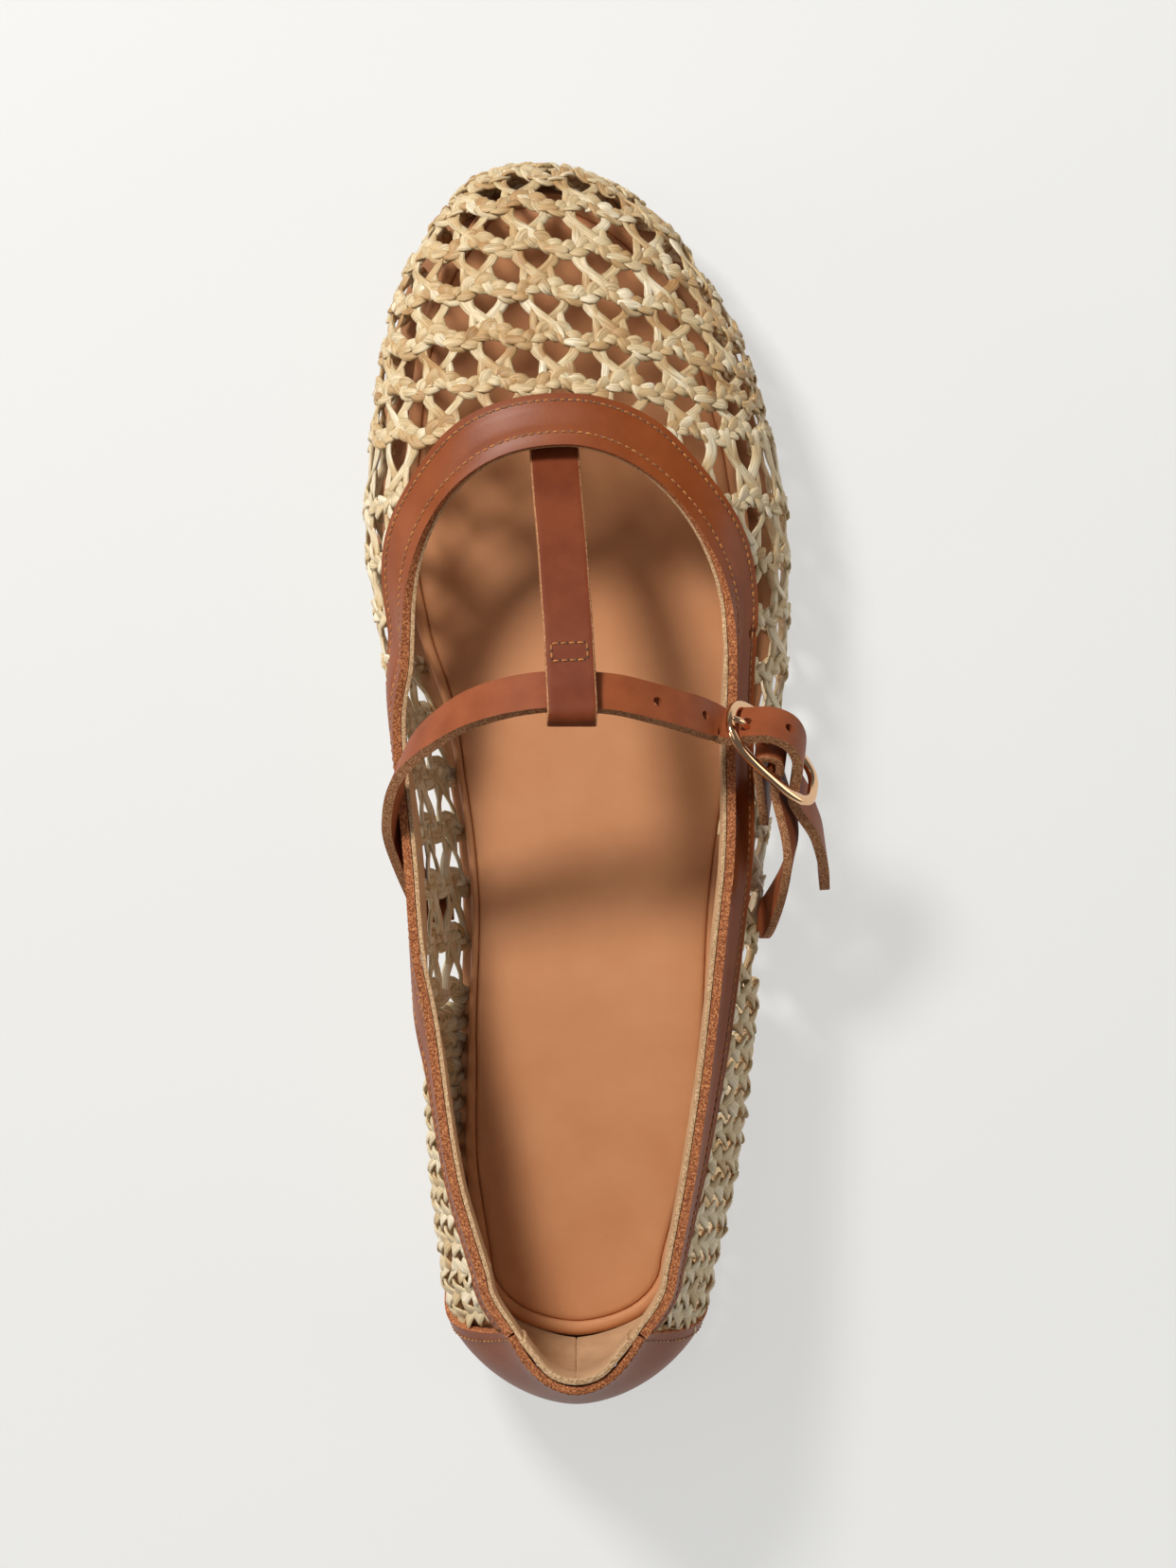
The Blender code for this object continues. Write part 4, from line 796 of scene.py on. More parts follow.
def laid_grid(name, counts, place, *finishes):
    """A grid whose vertices go to place(a, b), for shares a and b of the way along its two sides."""
    deselect()
    bpy.ops.mesh.primitive_grid_add(x_subdivisions=counts[0], y_subdivisions=counts[1], size=2)
    piece = bpy.context.object
    piece.name = piece.data.name = name
    flat = np.empty(len(piece.data.vertices) * 3)
    piece.data.vertices.foreach_get("co", flat)
    a, b = np.round((flat.reshape(-1, 3)[:, :2].T + 1) / 2, 6)
    piece.data.vertices.foreach_set("co", ((place(a, b) + SHIFT) * MM).ravel())
    for finish in finishes:
        piece.data.materials.append(finish)
    return piece


def thicken(piece, thick, bevel):
    """Gives a sheet its thickness, half to each side, and rounds its cut edges."""
    solid = piece.modifiers.new("thickness", "SOLIDIFY")
    solid.thickness, solid.offset, solid.material_offset_rim = thick * MM, 0.0, 1
    edges = piece.modifiers.new("edges", "BEVEL")
    edges.width, edges.segments, edges.angle_limit, edges.material = bevel * MM, 2, EDGE_ANGLE, 1
    for modifier in ("thickness", "edges"):
        bpy.ops.object.modifier_apply(modifier=modifier)


def close_up(piece):
    """Joins vertices that meet, turns all faces outwards and smooths the surface."""
    bpy.ops.object.mode_set(mode="EDIT")
    bpy.ops.mesh.select_all(action="SELECT")
    bpy.ops.mesh.remove_doubles(threshold=0.01 * MM)
    bpy.ops.mesh.normals_make_consistent(inside=False)
    bpy.ops.object.mode_set(mode="OBJECT")
    bpy.ops.object.shade_smooth_by_angle(angle=EDGE_ANGLE)
    print(piece.name, len(piece.data.polygons), "faces")


def fit(piece, node):
    """Lets a piece ride with the shoe, in place of a solid or as an extra."""
    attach(piece, "root")
    if node:
        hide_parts(node)


print("leather tools ready")

# %% [markdown]
# The edge of the opening is bound with a flat strip of leather, ten millimetres wide, sewn on near both
# of its edges. The thread pulls it down a little, so it is pillowed between the two rows. A thin undyed
# lining is sewn behind it, and its edge shows along the inside.

# %% Binding
COUNTER_FRONT, COUNTER_CURVE, SEAM = (SIDE_RUN - 1.0, SIDE_RUN + 20.5), 0.65, 1.0
BAND_LIFT, BAND_THICK, BAND_PILLOW = 1.75, 1.7, 0.22
STITCH_ROWS = (2.5, 8.6)
FREE_BLEND = 40.0
BAND_TUCKS = {"inner": (18.0, 28.0, 2.1), "outer": (-15.0, 95.0, -2.4)}  # y, half length, depth
EDGE_LENGTHS = {}
for side in SIGN:
    edge, _ = on_wall(COLLAR_RUNS, SIGN[side] * COLLAR_ARCS[side])
    EDGE_LENGTHS[side] = np.concatenate([[0.0], np.cumsum(np.linalg.norm(np.diff(edge, axis=0), axis=1))])


def edge_length(side, s):
    """Length along the opening's edge from the front of the throat."""
    return float(np.interp(s, COLLAR_RUNS, EDGE_LENGTHS[side]))


def counter_edge(share):
    """Run of the heel counter's front edge at a share of the way from sole to collar."""
    return COUNTER_FRONT[0] + (COUNTER_FRONT[1] - COUNTER_FRONT[0]) * np.clip(share, 0, 1) ** COUNTER_CURVE


def by_edge(place, reach, lift, stop_short=False):
    """Points at signed places round the opening's edge, outer side negative, and distances in from it."""
    points = np.zeros((len(place), 3))
    for at in np.unique(place):
        pick = place == at
        side = "outer" if at < 0 else "inner"
        s = float(np.interp(abs(at), EDGE_LENGTHS[side], COLLAR_RUNS))
        free = eased((s - THROAT_RUN) / FREE_BLEND)  # there arcs are counted up from the feather line
        near = np.clip((s - 0.6, s + 0.6), THROAT_RUN, FULL_RUN)
        arcs = collar_arc(side, near) - free * feather_arc(side, near)
        along = unit(np.array((near[1] - near[0], arcs[1] - arcs[0])))
        if abs(at) < 0.01:
            along = np.array((0.0, 1.0))
        runs = s - along[1] * reach[pick]
        start = collar_arc(side, s) - free * feather_arc(side, s)
        u = start + along[0] * reach[pick] + free * feather_arc(side, runs)
        if stop_short:
            climb = (feather_arc(side, runs) - u) / (feather_arc(side, runs) - collar_arc(side, runs))
            runs = np.minimum(runs, counter_edge(climb) - SEAM)
        points[pick] = on_wall(runs, SIGN[side] * u, lift[pick])[0]
    return points


def tucked(place):
    """How much closer to the wall the lower edge lies at signed places round the opening."""
    depth = np.zeros(len(place))
    for side, (middle, half_length, deepest) in BAND_TUCKS.items():
        y = TOE_TIP_Y - np.interp(np.abs(place), EDGE_LENGTHS[side], COLLAR_RUNS)
        bump = np.cos(np.clip((y - middle) / half_length, -1, 1) * math.pi / 2) ** 2
        depth += np.where(place * SIGN[side] < 0, deepest * bump, 0.0)
    return depth


def pillow(reach):
    """Height of the binding's face over its mean: low at the stitches and at the edges."""
    return BAND_PILLOW * (np.clip(np.abs(reach[:, None] - STITCH_ROWS).min(axis=1) / 1.4, 0, 1) - 0.6)


BAND_ENDS = [SIGN[side] * -edge_length(side, COUNTER_FRONT[1] - SEAM) for side in ("inner", "outer")][::-1]


def band_place(a, b):
    place, reach = BAND_ENDS[0] + (BAND_ENDS[1] - BAND_ENDS[0]) * a, COVER_WIDTH * b
    return by_edge(place, reach, BAND_LIFT + pillow(reach) - tucked(place) * b**2, True)


topline_band = laid_grid("topline_band_leather", (340, 14), band_place, cognac, raw_edge)
thicken(topline_band, BAND_THICK, 0.3)
close_up(topline_band)
fit(topline_band, "topline_band")

# %% [markdown]
# The lining follows the binding's edge from heel to heel. At its top it is sewn flat against the
# binding, and below it lies on the inside of the raffia.

# %% Lining of the opening
LINING_THICK, LINING_WIDTH = 0.8, 8.5
LINING_TOP, LINING_LOW = 0.45, -0.2  # lift of its middle at the edge and lower down
LINING_END_RUN = SIDE_RUN + 24.0
LINING_ENDS = [-edge_length("outer", LINING_END_RUN), edge_length("inner", LINING_END_RUN)]


def lining_place(a, b):
    lift = LINING_TOP + (LINING_LOW - LINING_TOP) * eased(b * 1.6)
    return by_edge(LINING_ENDS[0] + (LINING_ENDS[1] - LINING_ENDS[0]) * a, LINING_WIDTH * b, lift)


lining = laid_grid("opening_lining", (380, 9), lining_place, lining_hide, lining_edge)
thicken(lining, LINING_THICK, 0.25)
close_up(lining)
fit(lining, None)

# %% [markdown]
# A counter of the same leather as the binding wraps the heel from sole to collar. Its front edges are cut
# in a curve that runs back as it rises, and the cut is left pale. Inside, the heel is lined in full
# height by a second layer, which stands a little away from the collar.

# %% Heel counter and heel lining
COUNTER_LIFT, COUNTER_THICK = 1.7, 1.6
HEEL_LINING_LOW, HEEL_LINING_TOP, HEEL_LINING_THICK = -1.7, 0.2, 1.2
HEEL_LINING_FRONT = 3.0  # how far behind the counter's front edge the lining ends
HEEL_LINING_DROP = 3.0  # how far above the feather line it ends
HEEL_LINING_SLOPE = 5.5  # how far it slopes in to the footbed, at the back
BACK_SEAM_HALF, BACK_SEAM_DEPTH, STAND_OFF = 0.004, 0.45, 0.12


def heel_place(a, b, front, low, high, lift):
    """Points of a wrap round the heel: a from the outer edge round to the inner, b from sole to collar."""
    points = np.zeros((len(a), 3))
    edge = counter_edge(b) + front
    runs = edge + (FULL_RUN - edge) * (1 - np.abs(2 * a - 1))
    for side, pick in (("outer", a <= 0.5), ("inner", a > 0.5)):
        bottom, top = feather_arc(side, runs[pick]) - low, collar_arc(side, runs[pick]) + high
        u = bottom + (top - bottom) * b[pick]
        points[pick] = on_wall(runs[pick], SIGN[side] * u, lift[pick])[0]
    return points


def counter_place(a, b):
    return heel_place(a, b, 0.0, 0.6, 0.0, np.full(len(a), COUNTER_LIFT))


def heel_lining_place(a, b):
    seam = np.abs(a - 0.5) < BACK_SEAM_HALF
    lift = HEEL_LINING_LOW + (HEEL_LINING_TOP - HEEL_LINING_LOW) * b**3
    lift = lift + BACK_SEAM_DEPTH * seam * (1 - b**8)
    lift = lift - STAND_OFF * (1 - np.cos(6 * math.pi * a)) * b**6  # it stands off the collar in places
    points = heel_place(a, b, HEEL_LINING_FRONT, HEEL_LINING_DROP, -0.6, lift)
    slope = HEEL_LINING_SLOPE * (1 - b) ** 1.5 * (1 - (2 * a - 1) ** 2)
    points[:, :2] += unit(np.array((HEEL_X, HEEL_Y)) - points[:, :2]) * slope[:, None]
    return points


heel_counter = laid_grid("heel_counter_leather", (120, 40), counter_place, cognac, raw_edge)
thicken(heel_counter, COUNTER_THICK, 0.3)
close_up(heel_counter)
fit(heel_counter, "heel_counter")
heel_lining = laid_grid("heel_lining", (90, 30), heel_lining_place, lining_hide, lining_edge)
thicken(heel_lining, HEEL_LINING_THICK, 0.25)
close_up(heel_lining)
fit(heel_lining, None)

# %% [markdown]
# Footbed and sole follow the feather line, where the upper turns under. Each is a stack of rings: a
# column of the grid runs round the shoe, and its rows go from the middle of the underside, over the edge,
# to the middle of the top, where they close on the spine. The footbed has a rolled edge with a crease
# behind it. The sole is plain, with a low heel.

# %% Footbed and sole
TOE_ZONE = 45.0
LOOP_RUNS = np.concatenate([
    np.linspace(0, math.sqrt(TOE_ZONE), 44) ** 2, np.linspace(TOE_ZONE, SIDE_RUN, 70)[1:],
    np.linspace(SIDE_RUN, FULL_RUN, 36)[1:]])
BREAST_Y, BREAST_SLOPE = -62.0, 0.4
BREAST_RUNS = TOE_TIP_Y - BREAST_Y + np.array((-BREAST_SLOPE, BREAST_SLOPE))
FOOTBED_BACK_INSET = 7.0
FOOTBED_COLUMNS = ("y", "inner_inset", "outer_inset", "inner_roll", "outer_roll")
FOOTBED_ROWS = np.array([
    (-96.0, 2.8, 2.8, 1.0, 1.0), (-75.0, 1.6, 1.8, 0.75, 0.85), (-50.0, 0.9, 1.3, 0.55, 0.75),
    (0.0, 0.9, 1.3, 0.55, 0.75), (30.0, 2.0, 2.2, 0.85, 0.9), (60.0, 2.8, 2.8, 1.0, 1.0)])
FOOTBED_EDGE = (
    (0.9, 0.0), (0.25, 0.6), (0.0, 1.6), (0.0, 3.0), (0.2, 3.8), (0.7, 4.4), (1.4, 4.65), (2.2, 4.6),
    (2.6, 4.35), (2.8, 3.9), (2.9, 3.6), (3.0, 3.9), (3.3, 4.25), (4.2, 4.4), (6.0, 4.45))  # in, up
SOLE_BOTTOM = np.array([
    (-60.0, 7.0), (-45.0, 6.2), (-25.0, 4.4), (-8.0, 2.2), (8.0, 0.5), (18.0, 0.0), (72.0, 0.0),
    (80.0, 0.3), (90.0, 1.2), (100.0, 2.4), (112.0, 4.2), (120.0, 5.6), (130.0, 7.2)])  # y, z
SOLE_UPPER_GAP = 0.9
SOLE_SPREAD, SPREAD_START_Y, SPREAD_BLEND = 1.5, -5.0, 40.0  # it reaches further out under the forefoot
SOLE_LOW_EDGE = ((0.3, 0.0), (-0.25, 0.15), (-0.65, 0.55), (-0.8, 1.1))  # in, up from the bottom
SOLE_HIGH_EDGE = ((-0.8, -0.6), (-0.6, -0.15), (-0.25, 0.0))  # in, up from the top


def loop_plan(runs):
    """Plan points round the feather line from the toe, inward directions, section ys and runs."""
    full = np.concatenate([runs, runs[-2:0:-1]])
    arcs = np.concatenate([feather_arc("outer", runs), -feather_arc("inner", runs[-2:0:-1])])
    plan = on_wall(full, arcs)[0][:, :2]
    tangent = unit(np.roll(plan, -1, axis=0) - np.roll(plan, 1, axis=0))
    inward = np.column_stack([tangent[:, 1], -tangent[:, 0]])
    section_y = np.where(full < SIDE_RUN, TOE_TIP_Y - full, plan[:, 1])
    return plan, inward, section_y, full


def feather_height(y):
    return last("feather_z", TOE_TIP_Y - y)


def ring_stack(name, runs, rings, finish):
    """A closed piece from rings given as functions of the loop: distance in, height and share of the way
    to the spine."""
    plan, inward, section_y, full = loop_plan(runs)
    count, rows = len(full), []
    for inset, height, to_spine in rings:
        ring = np.column_stack([plan + inward * inset(full)[:, None], height(section_y)])
        partner = ring[(count - np.arange(count)) % count]
        rows.append(ring + ((ring + partner) / 2 - ring) * to_spine)
    stack = np.array(rows)

    def place(a, b):
        return stack[np.rint(b * (len(rings) - 1)).astype(int), np.rint(a * count).astype(int) % count]
    piece = laid_grid(name, (count, len(rings) - 1), place, finish)
    close_up(piece)
    return piece


def footbed_ring(inset, up, to_spine=0.0):
    def distance(s):
        outer = np.arange(len(s)) < len(LOOP_RUNS)  # the loop goes back along the outer side, then forward
        here = {
            name: np.interp(TOE_TIP_Y - s, FOOTBED_ROWS[:, 0], column)
            for name, column in zip(FOOTBED_COLUMNS, FOOTBED_ROWS.T)}
        edge = np.where(outer, here["outer_inset"], here["inner_inset"])
        roll = np.where(outer, here["outer_roll"], here["inner_roll"])
        turn = np.clip(s - SIDE_RUN, 0, None) / HEEL_PERIMETER_R
        return edge + (FOOTBED_BACK_INSET - edge) * np.sin(turn) ** 2 + inset * roll
    return distance, lambda y: feather_height(y) + up, to_spine


def sole_bottom(y):
    return np.where(y < BREAST_Y, 0.0, monotone(SOLE_BOTTOM[:, 0], SOLE_BOTTOM[:, 1], y))


def sole_ring(inset, up, from_top, to_spine=0.0):
    def height(y):
        return (feather_height(y) - SOLE_UPPER_GAP if from_top else sole_bottom(y)) + up

    def distance(s):
        return inset - SOLE_SPREAD * eased((TOE_TIP_Y - s - SPREAD_START_Y) / SPREAD_BLEND)
    return distance, height, to_spine


footbed_rings = [footbed_ring(0.9, 0.0, 1.0)] + [footbed_ring(*step) for step in FOOTBED_EDGE]
footbed_rings += [footbed_ring(*FOOTBED_EDGE[-1], share) for share in np.linspace(0, 1, 9)[1:]]
insole = ring_stack("footbed", LOOP_RUNS, footbed_rings, footbed_hide)
fit(insole, "insole")
sole_rings = [sole_ring(*SOLE_LOW_EDGE[0], False, share) for share in np.linspace(1, 0, 6)[:-1]]
sole_rings += [sole_ring(*step, False) for step in SOLE_LOW_EDGE]
sole_rings += [sole_ring(*step, True) for step in SOLE_HIGH_EDGE] + [sole_ring(-0.25, 0.0, True, 1.0)]
outsole = ring_stack("sole", np.sort(np.concatenate([LOOP_RUNS, BREAST_RUNS])), sole_rings, sole_hide)
fit(outsole, "outsole")

# %% [markdown]
# Each strap is a flat strip that runs along a path in space, so a table of places with the direction
# across the strip is enough to lay it. A smooth curve joins the rows. The strap over the instep passes
# through the buckle and ends in a rounded tip. The one along the foot holds it in a sewn loop.

# %% Paths of the straps
# A row holds x, y and z of the strip's middle, then the direction across it.
INSTEP_WIDTH, INSTEP_THICK = 8.0, 2.0
INSTEP_ANCHOR = ("inner", -23.4, (3.0, 9.0, 15.0))  # side, y and heights up the wall where it is sewn on
INSTEP_PATH = (
    (-37.5, -10.2, 38.0, -0.2, -0.8, 0.55),
    (-37.9, -3.4, 45.5, -0.3, -0.75, 0.6),
    (-35.9, 3.4, 52.6, -0.3, -0.75, 0.6),
    (-30.8, 9.2, 57.8, -0.2, -0.8, 0.55),
    (-22.0, 14.6, 62.2, -0.1, -0.85, 0.5),
    (-10.0, 17.5, 64.7, 0.0, -0.88, 0.47),
    (3.5, 17.4, 64.4, 0.0, -0.88, 0.47),
    (13.0, 15.4, 61.0, -0.05, -0.85, 0.52),
    (19.4, 13.6, 57.0, -0.15, -0.75, 0.62),
)
INSTEP_THROUGH_BUCKLE = (
    (-13.4, -3.8), (-10.6, -2.6), (-8.6, 1.0), (-6.0, 4.8), (-2.4, 6.4),
    (1.6, 5.4), (5.4, 2.2), (9.4, -2.2), (13.4, -3.8),
)
INSTEP_TAIL = (
    (44.6, -8.6, 35.0, -0.1, -0.3, 0.95),
    (46.0, -14.0, 29.6, 0.0, -0.2, 0.98),
    (46.6, -19.8, 24.0, 0.0, -0.15, 1.0),
)
T_WIDTH, T_THICK = 9.6, 1.8
T_PATH = (
    (-7.0, 72.0, 39.2, 1.0, 0.0, 0.0),
    (-6.6, 65.0, 42.1, 1.0, 0.0, 0.0),
    (-6.0, 57.0, 47.8, 1.0, 0.0, 0.0),
    (-5.0, 46.0, 54.6, 1.0, 0.0, 0.0),
    (-4.3, 36.0, 60.2, 1.0, 0.0, 0.0),
    (-3.8, 30.0, 63.2, 1.0, 0.0, 0.0),
    (-3.5, 24.0, 65.6, 1.0, 0.0, 0.0),
    (-3.2, 18.5, 67.3, 1.0, 0.0, 0.0),
    (-3.0, 14.6, 69.1, 1.0, 0.0, 0.0),
    (-3.1, 12.6, 68.7, 1.0, 0.0, 0.0),
    (-3.1, 11.9, 66.2, 1.0, 0.0, 0.0),
    (-3.1, 13.3, 63.7, 1.0, 0.0, 0.0),
    (-3.0, 16.3, 61.9, 1.0, 0.0, 0.0),
    (-3.2, 20.6, 60.2, 1.0, 0.0, 0.0),
    (-3.5, 25.0, 60.9, 1.0, 0.0, 0.0),
    (-3.8, 30.0, 60.3, 1.0, 0.0, 0.0),
    (-4.3, 36.0, 57.6, 1.0, 0.0, 0.0),
)
BUCKLE_STRAP_WIDTH, BUCKLE_STRAP_THICK = 7.6, 1.7
BUCKLE_STRAP_ANCHOR = ("outer", -26.0, (4.0, 9.0, 14.0))
BUCKLE_STRAP_PATH = (
    (38.6, -18.5, 33.2, -0.1, -0.75, 0.65),
    (39.6, -10.5, 38.6, -0.2, -0.6, 0.75),
)
FOLD_ROUND_BAR = (
    (6.4, -4.1), (3.4, -1.2), (1.9, 0.9), (0.0, 1.9), (-1.9, 0.9), (-2.2, -1.2), (0.4, -3.6), (4.0, -6.0),
    (8.2, -9.0), (11.6, -11.6),
)
FRAME_CENTRE = np.array((35.8, 6.0, 47.4))
FRAME_ALONG = np.array((0.66, -0.58, -0.48))
FRAME_ACROSS = np.array((-0.36, -0.43, 0.83))
FRAME_ALONG /= np.linalg.norm(FRAME_ALONG)
FRAME_ACROSS -= FRAME_ALONG * (FRAME_ACROSS @ FRAME_ALONG)
FRAME_ACROSS /= np.linalg.norm(FRAME_ACROSS)
FRAME_UP = np.cross(FRAME_ACROSS, FRAME_ALONG)
FRAME_HALF_LENGTH, FRAME_HALF_WIDTH = 12.2, 6.2
STRAP_SPAN = 12  # places to a row of the table
TIP_ROUND = 4.0
HOLE_R, HOLE_PLACES = 1.0, (12.8, 21.8, 30.8, 38.5)  # the last two lie on the hump over the buckle
WALL_CLEAR = 1.45  # of a strap's inner face from the wall that it is sewn to
print("strap rows:", len(INSTEP_PATH), "instep,", len(T_PATH), "along the foot")

# %% [markdown]
# A strap is a grid again, with one row of vertices across it for each place on its path. The direction
# across is squared up to the path, so the strip doesn't shear. Holes are cut last, with a round rod.

# %% Tools for straps

def smooth_path(rows):
    """Rows of a strap's table, with places added on a smooth curve between them."""
    rows = np.array(rows, dtype=float)
    padded = np.vstack([2 * rows[0] - rows[1], rows, 2 * rows[-1] - rows[-2]])
    made = []
    for a, b, c, d in zip(padded, padded[1:], padded[2:], padded[3:]):
        t = (np.arange(STRAP_SPAN) / STRAP_SPAN)[:, None]
        bend, twist = 2 * a - 5 * b + 4 * c - d, 3 * b - a - 3 * c + d
        made.append(0.5 * (2 * b + (c - a) * t + bend * t**2 + twist * t**3))
    return np.vstack(made + [rows[-1:]])


def strap_frames(rows):
    """Centre, direction across and face normal all along a strap, and the length run."""
    path = smooth_path(rows)
    centre = path[:, :3]
    run = np.concatenate([[0.0], np.cumsum(np.linalg.norm(np.diff(centre, axis=0), axis=1))])
    along = unit(np.gradient(centre, axis=0))
    across = unit(path[:, 3:] - along * (path[:, 3:] * along).sum(axis=1, keepdims=True))
    return centre, across, np.cross(along, across), run


def anchor_rows(anchor, thick):
    """Rows that lie on the outside of the wall, from the sole upwards."""
    side, y, heights = anchor
    s = TOE_TIP_Y - y
    arcs = SIGN[side] * (float(feather_arc(side, s)) - np.array(heights))
    spots, _ = on_wall(np.full(len(arcs), s), arcs, WALL_CLEAR + thick / 2)
    return [(*spot, 0.0, -1.0, 0.1) for spot in spots]


def buckle_rows(steps):
    """Rows given along the buckle and up from its plane."""
    return [(*(FRAME_CENTRE + FRAME_ALONG * a + FRAME_UP * up), *FRAME_ACROSS) for a, up in steps]


def lay_strap(name, node, frames, width, thick, hide, tip=0.0):
    """A strap along its frames, with a rounded tip where it ends free."""
    centre, across, _, run = frames
    last_index = len(run) - 1

    def place(a, b):
        i = np.rint(a * last_index).astype(int)
        round_off = np.sqrt(1 - np.clip(1 - (run[-1] - run[i]) / tip, 0, 0.98) ** 2) if tip else 1.0
        return centre[i] + across[i] * ((b - 0.5) * width * round_off)[:, None]
    strap = laid_grid(name, (last_index, 8), place, hide, strap_edge)
    thicken(strap, thick, 0.3)
    close_up(strap)
    fit(strap, node)
    return strap


def punch(strap, frames, x):
    """A round hole through a strap where its middle passes x, cut by a rod that is then removed."""
    centre, _, normal, _ = frames
    i = int(np.argmin(np.abs(centre[:, 0] - x) - 0.01 * centre[:, 2]))
    deselect()
    bpy.ops.mesh.primitive_cylinder_add(
        vertices=20, radius=HOLE_R * MM, depth=3 * INSTEP_THICK * MM, location=(centre[i] + SHIFT) * MM,
        rotation=Vector(normal[i]).to_track_quat("Z", "Y").to_euler())
    tool = bpy.context.object
    bpy.context.view_layer.objects.active = strap
    cut = strap.modifiers.new("hole", "BOOLEAN")
    cut.object = tool
    bpy.ops.object.modifier_apply(modifier="hole")
    bpy.data.objects.remove(tool)


print("strap tools ready")

# %% [markdown]
# The strap over the instep starts low on the inner wall and runs through the buckle. The one along the foot
# uses a darker copy of the same leather, painted shade for the sheen it lacks. The short strap on the outer
# wall is folded round the buckle's bar.

# %% Straps
instep_frames = strap_frames([
    *anchor_rows(INSTEP_ANCHOR, INSTEP_THICK), *INSTEP_PATH,
    *buckle_rows(INSTEP_THROUGH_BUCKLE), *INSTEP_TAIL])
instep_strap = lay_strap(
    "instep_strap_leather", "instep_strap", instep_frames,
    INSTEP_WIDTH, INSTEP_THICK, strap_hide, TIP_ROUND)
for x in HOLE_PLACES:
    punch(instep_strap, instep_frames, x)
t_frames = strap_frames(T_PATH)
# the strap along the foot takes the darker copy of the strap leather, painted shade
lay_strap("t_strap_leather", "t_strap", t_frames, T_WIDTH, T_THICK, strap_hide_painted_shade)
buckle_strap_frames = strap_frames([
    *anchor_rows(BUCKLE_STRAP_ANCHOR, BUCKLE_STRAP_THICK), *BUCKLE_STRAP_PATH,
    *buckle_rows(FOLD_ROUND_BAR)])
lay_strap(
    "buckle_strap_leather", "buckle_strap", buckle_strap_frames,
    BUCKLE_STRAP_WIDTH, BUCKLE_STRAP_THICK, strap_hide)

# %% [markdown]
# The buckle is cast: a rounded oval frame, a straight bar across its middle and a pin that swings on it.
# A torus and cylinders could be bent to that. A grid that is rolled up and closed follows the oval with its
# flattened section at once, and gives the bar and the tapered pin too.

# %% Buckle
FRAME_POWER, FRAME_STEPS, WIRE_SIDES = 3.0, 96, 16
WIRE_HALF_WIDTH, WIRE_HALF_THICK, WIRE_POWER = 1.08, 0.85, 2.3
BAR_R, PRONG_R = 0.6, 0.75
PRONG_PATH = np.array([
    (-0.2, 0.0, 0.9), (-1.6, 0.0, 1.0), (-3.7, 0.3, 0.9),
    (-8.0, 1.3, 1.5), (-11.6, 2.2, 2.3), (-13.9, 2.7, 1.8)])  # along, across, up
PRONG_STEPS = 30


def squared(wave, power):
    return np.sign(wave) * np.abs(wave) ** (2 / power)


def on_frame(along, across, up):
    """Points given in the buckle's own directions."""
    flat = np.multiply.outer(along, FRAME_ALONG) + np.multiply.outer(across, FRAME_ACROSS)
    return FRAME_CENTRE + flat + np.multiply.outer(up, FRAME_UP)


def frame_place(a, b):
    turn, roll = 2 * math.pi * a, 2 * math.pi * b
    along, across = squared(np.cos(turn), FRAME_POWER), squared(np.sin(turn), FRAME_POWER)
    ahead = squared(np.cos(turn + 0.01), FRAME_POWER), squared(np.sin(turn + 0.01), FRAME_POWER)
    behind = squared(np.cos(turn - 0.01), FRAME_POWER), squared(np.sin(turn - 0.01), FRAME_POWER)
    tangent = unit(np.column_stack([
        FRAME_HALF_LENGTH * (ahead[0] - behind[0]), FRAME_HALF_WIDTH * (ahead[1] - behind[1])]))
    wide = WIRE_HALF_WIDTH * squared(np.cos(roll), WIRE_POWER)
    return on_frame(
        FRAME_HALF_LENGTH * along + tangent[:, 1] * wide, FRAME_HALF_WIDTH * across - tangent[:, 0] * wide,
        WIRE_HALF_THICK * squared(np.sin(roll), WIRE_POWER))


def rod_place(path, radius):
    """Places on a round rod along a path in the buckle's own directions, closed at both ends."""
    def place(a, b):
        i = np.rint(a * (len(path) - 1)).astype(int)
        heading = unit(np.gradient(path, axis=0))[i]
        first = unit(np.cross(heading, (0.3, 0.2, 1.0)))
        second = np.cross(heading, first)
        turn = 2 * math.pi * b[:, None]
        spot = path[i] + radius[i][:, None] * (np.cos(turn) * first + np.sin(turn) * second)
        return on_frame(*spot.T)
    return place


buckle_frame = laid_grid("buckle_frame_metal", (FRAME_STEPS, WIRE_SIDES), frame_place, rose_gold)
close_up(buckle_frame)
fit(buckle_frame, "buckle_frame")
bar_reach = FRAME_HALF_WIDTH - 0.8
bar_across = bar_reach * np.array((-1, -1, -0.3, 0.3, 1, 1)) + 1e-4 * np.arange(6)  # no two alike
bar_path = np.column_stack([np.zeros(6), bar_across, np.zeros(6)])
bar_place = rod_place(bar_path, BAR_R * np.array((0, 1, 1, 1, 1, 0)))
buckle_bar = laid_grid("buckle_bar_metal", (5, 16), bar_place, rose_gold)
close_up(buckle_bar)
fit(buckle_bar, "buckle_bar")
prong_at, rows = np.linspace(0, len(PRONG_PATH) - 1, PRONG_STEPS), np.arange(len(PRONG_PATH))
prong_path = np.column_stack([np.interp(prong_at, rows, PRONG_PATH[:, k]) for k in range(3)])
ends = np.clip(np.sin(math.pi * np.linspace(0, 1, PRONG_STEPS)) * 4, 0, 1) ** 0.5
prong_radius = PRONG_R * ends * np.linspace(1.05, 0.8, PRONG_STEPS)
prong_place = rod_place(prong_path, prong_radius)
buckle_prong = laid_grid("buckle_prong_metal", (PRONG_STEPS - 1, 14), prong_place, rose_gold)
close_up(buckle_prong)
fit(buckle_prong, "buckle_prong")

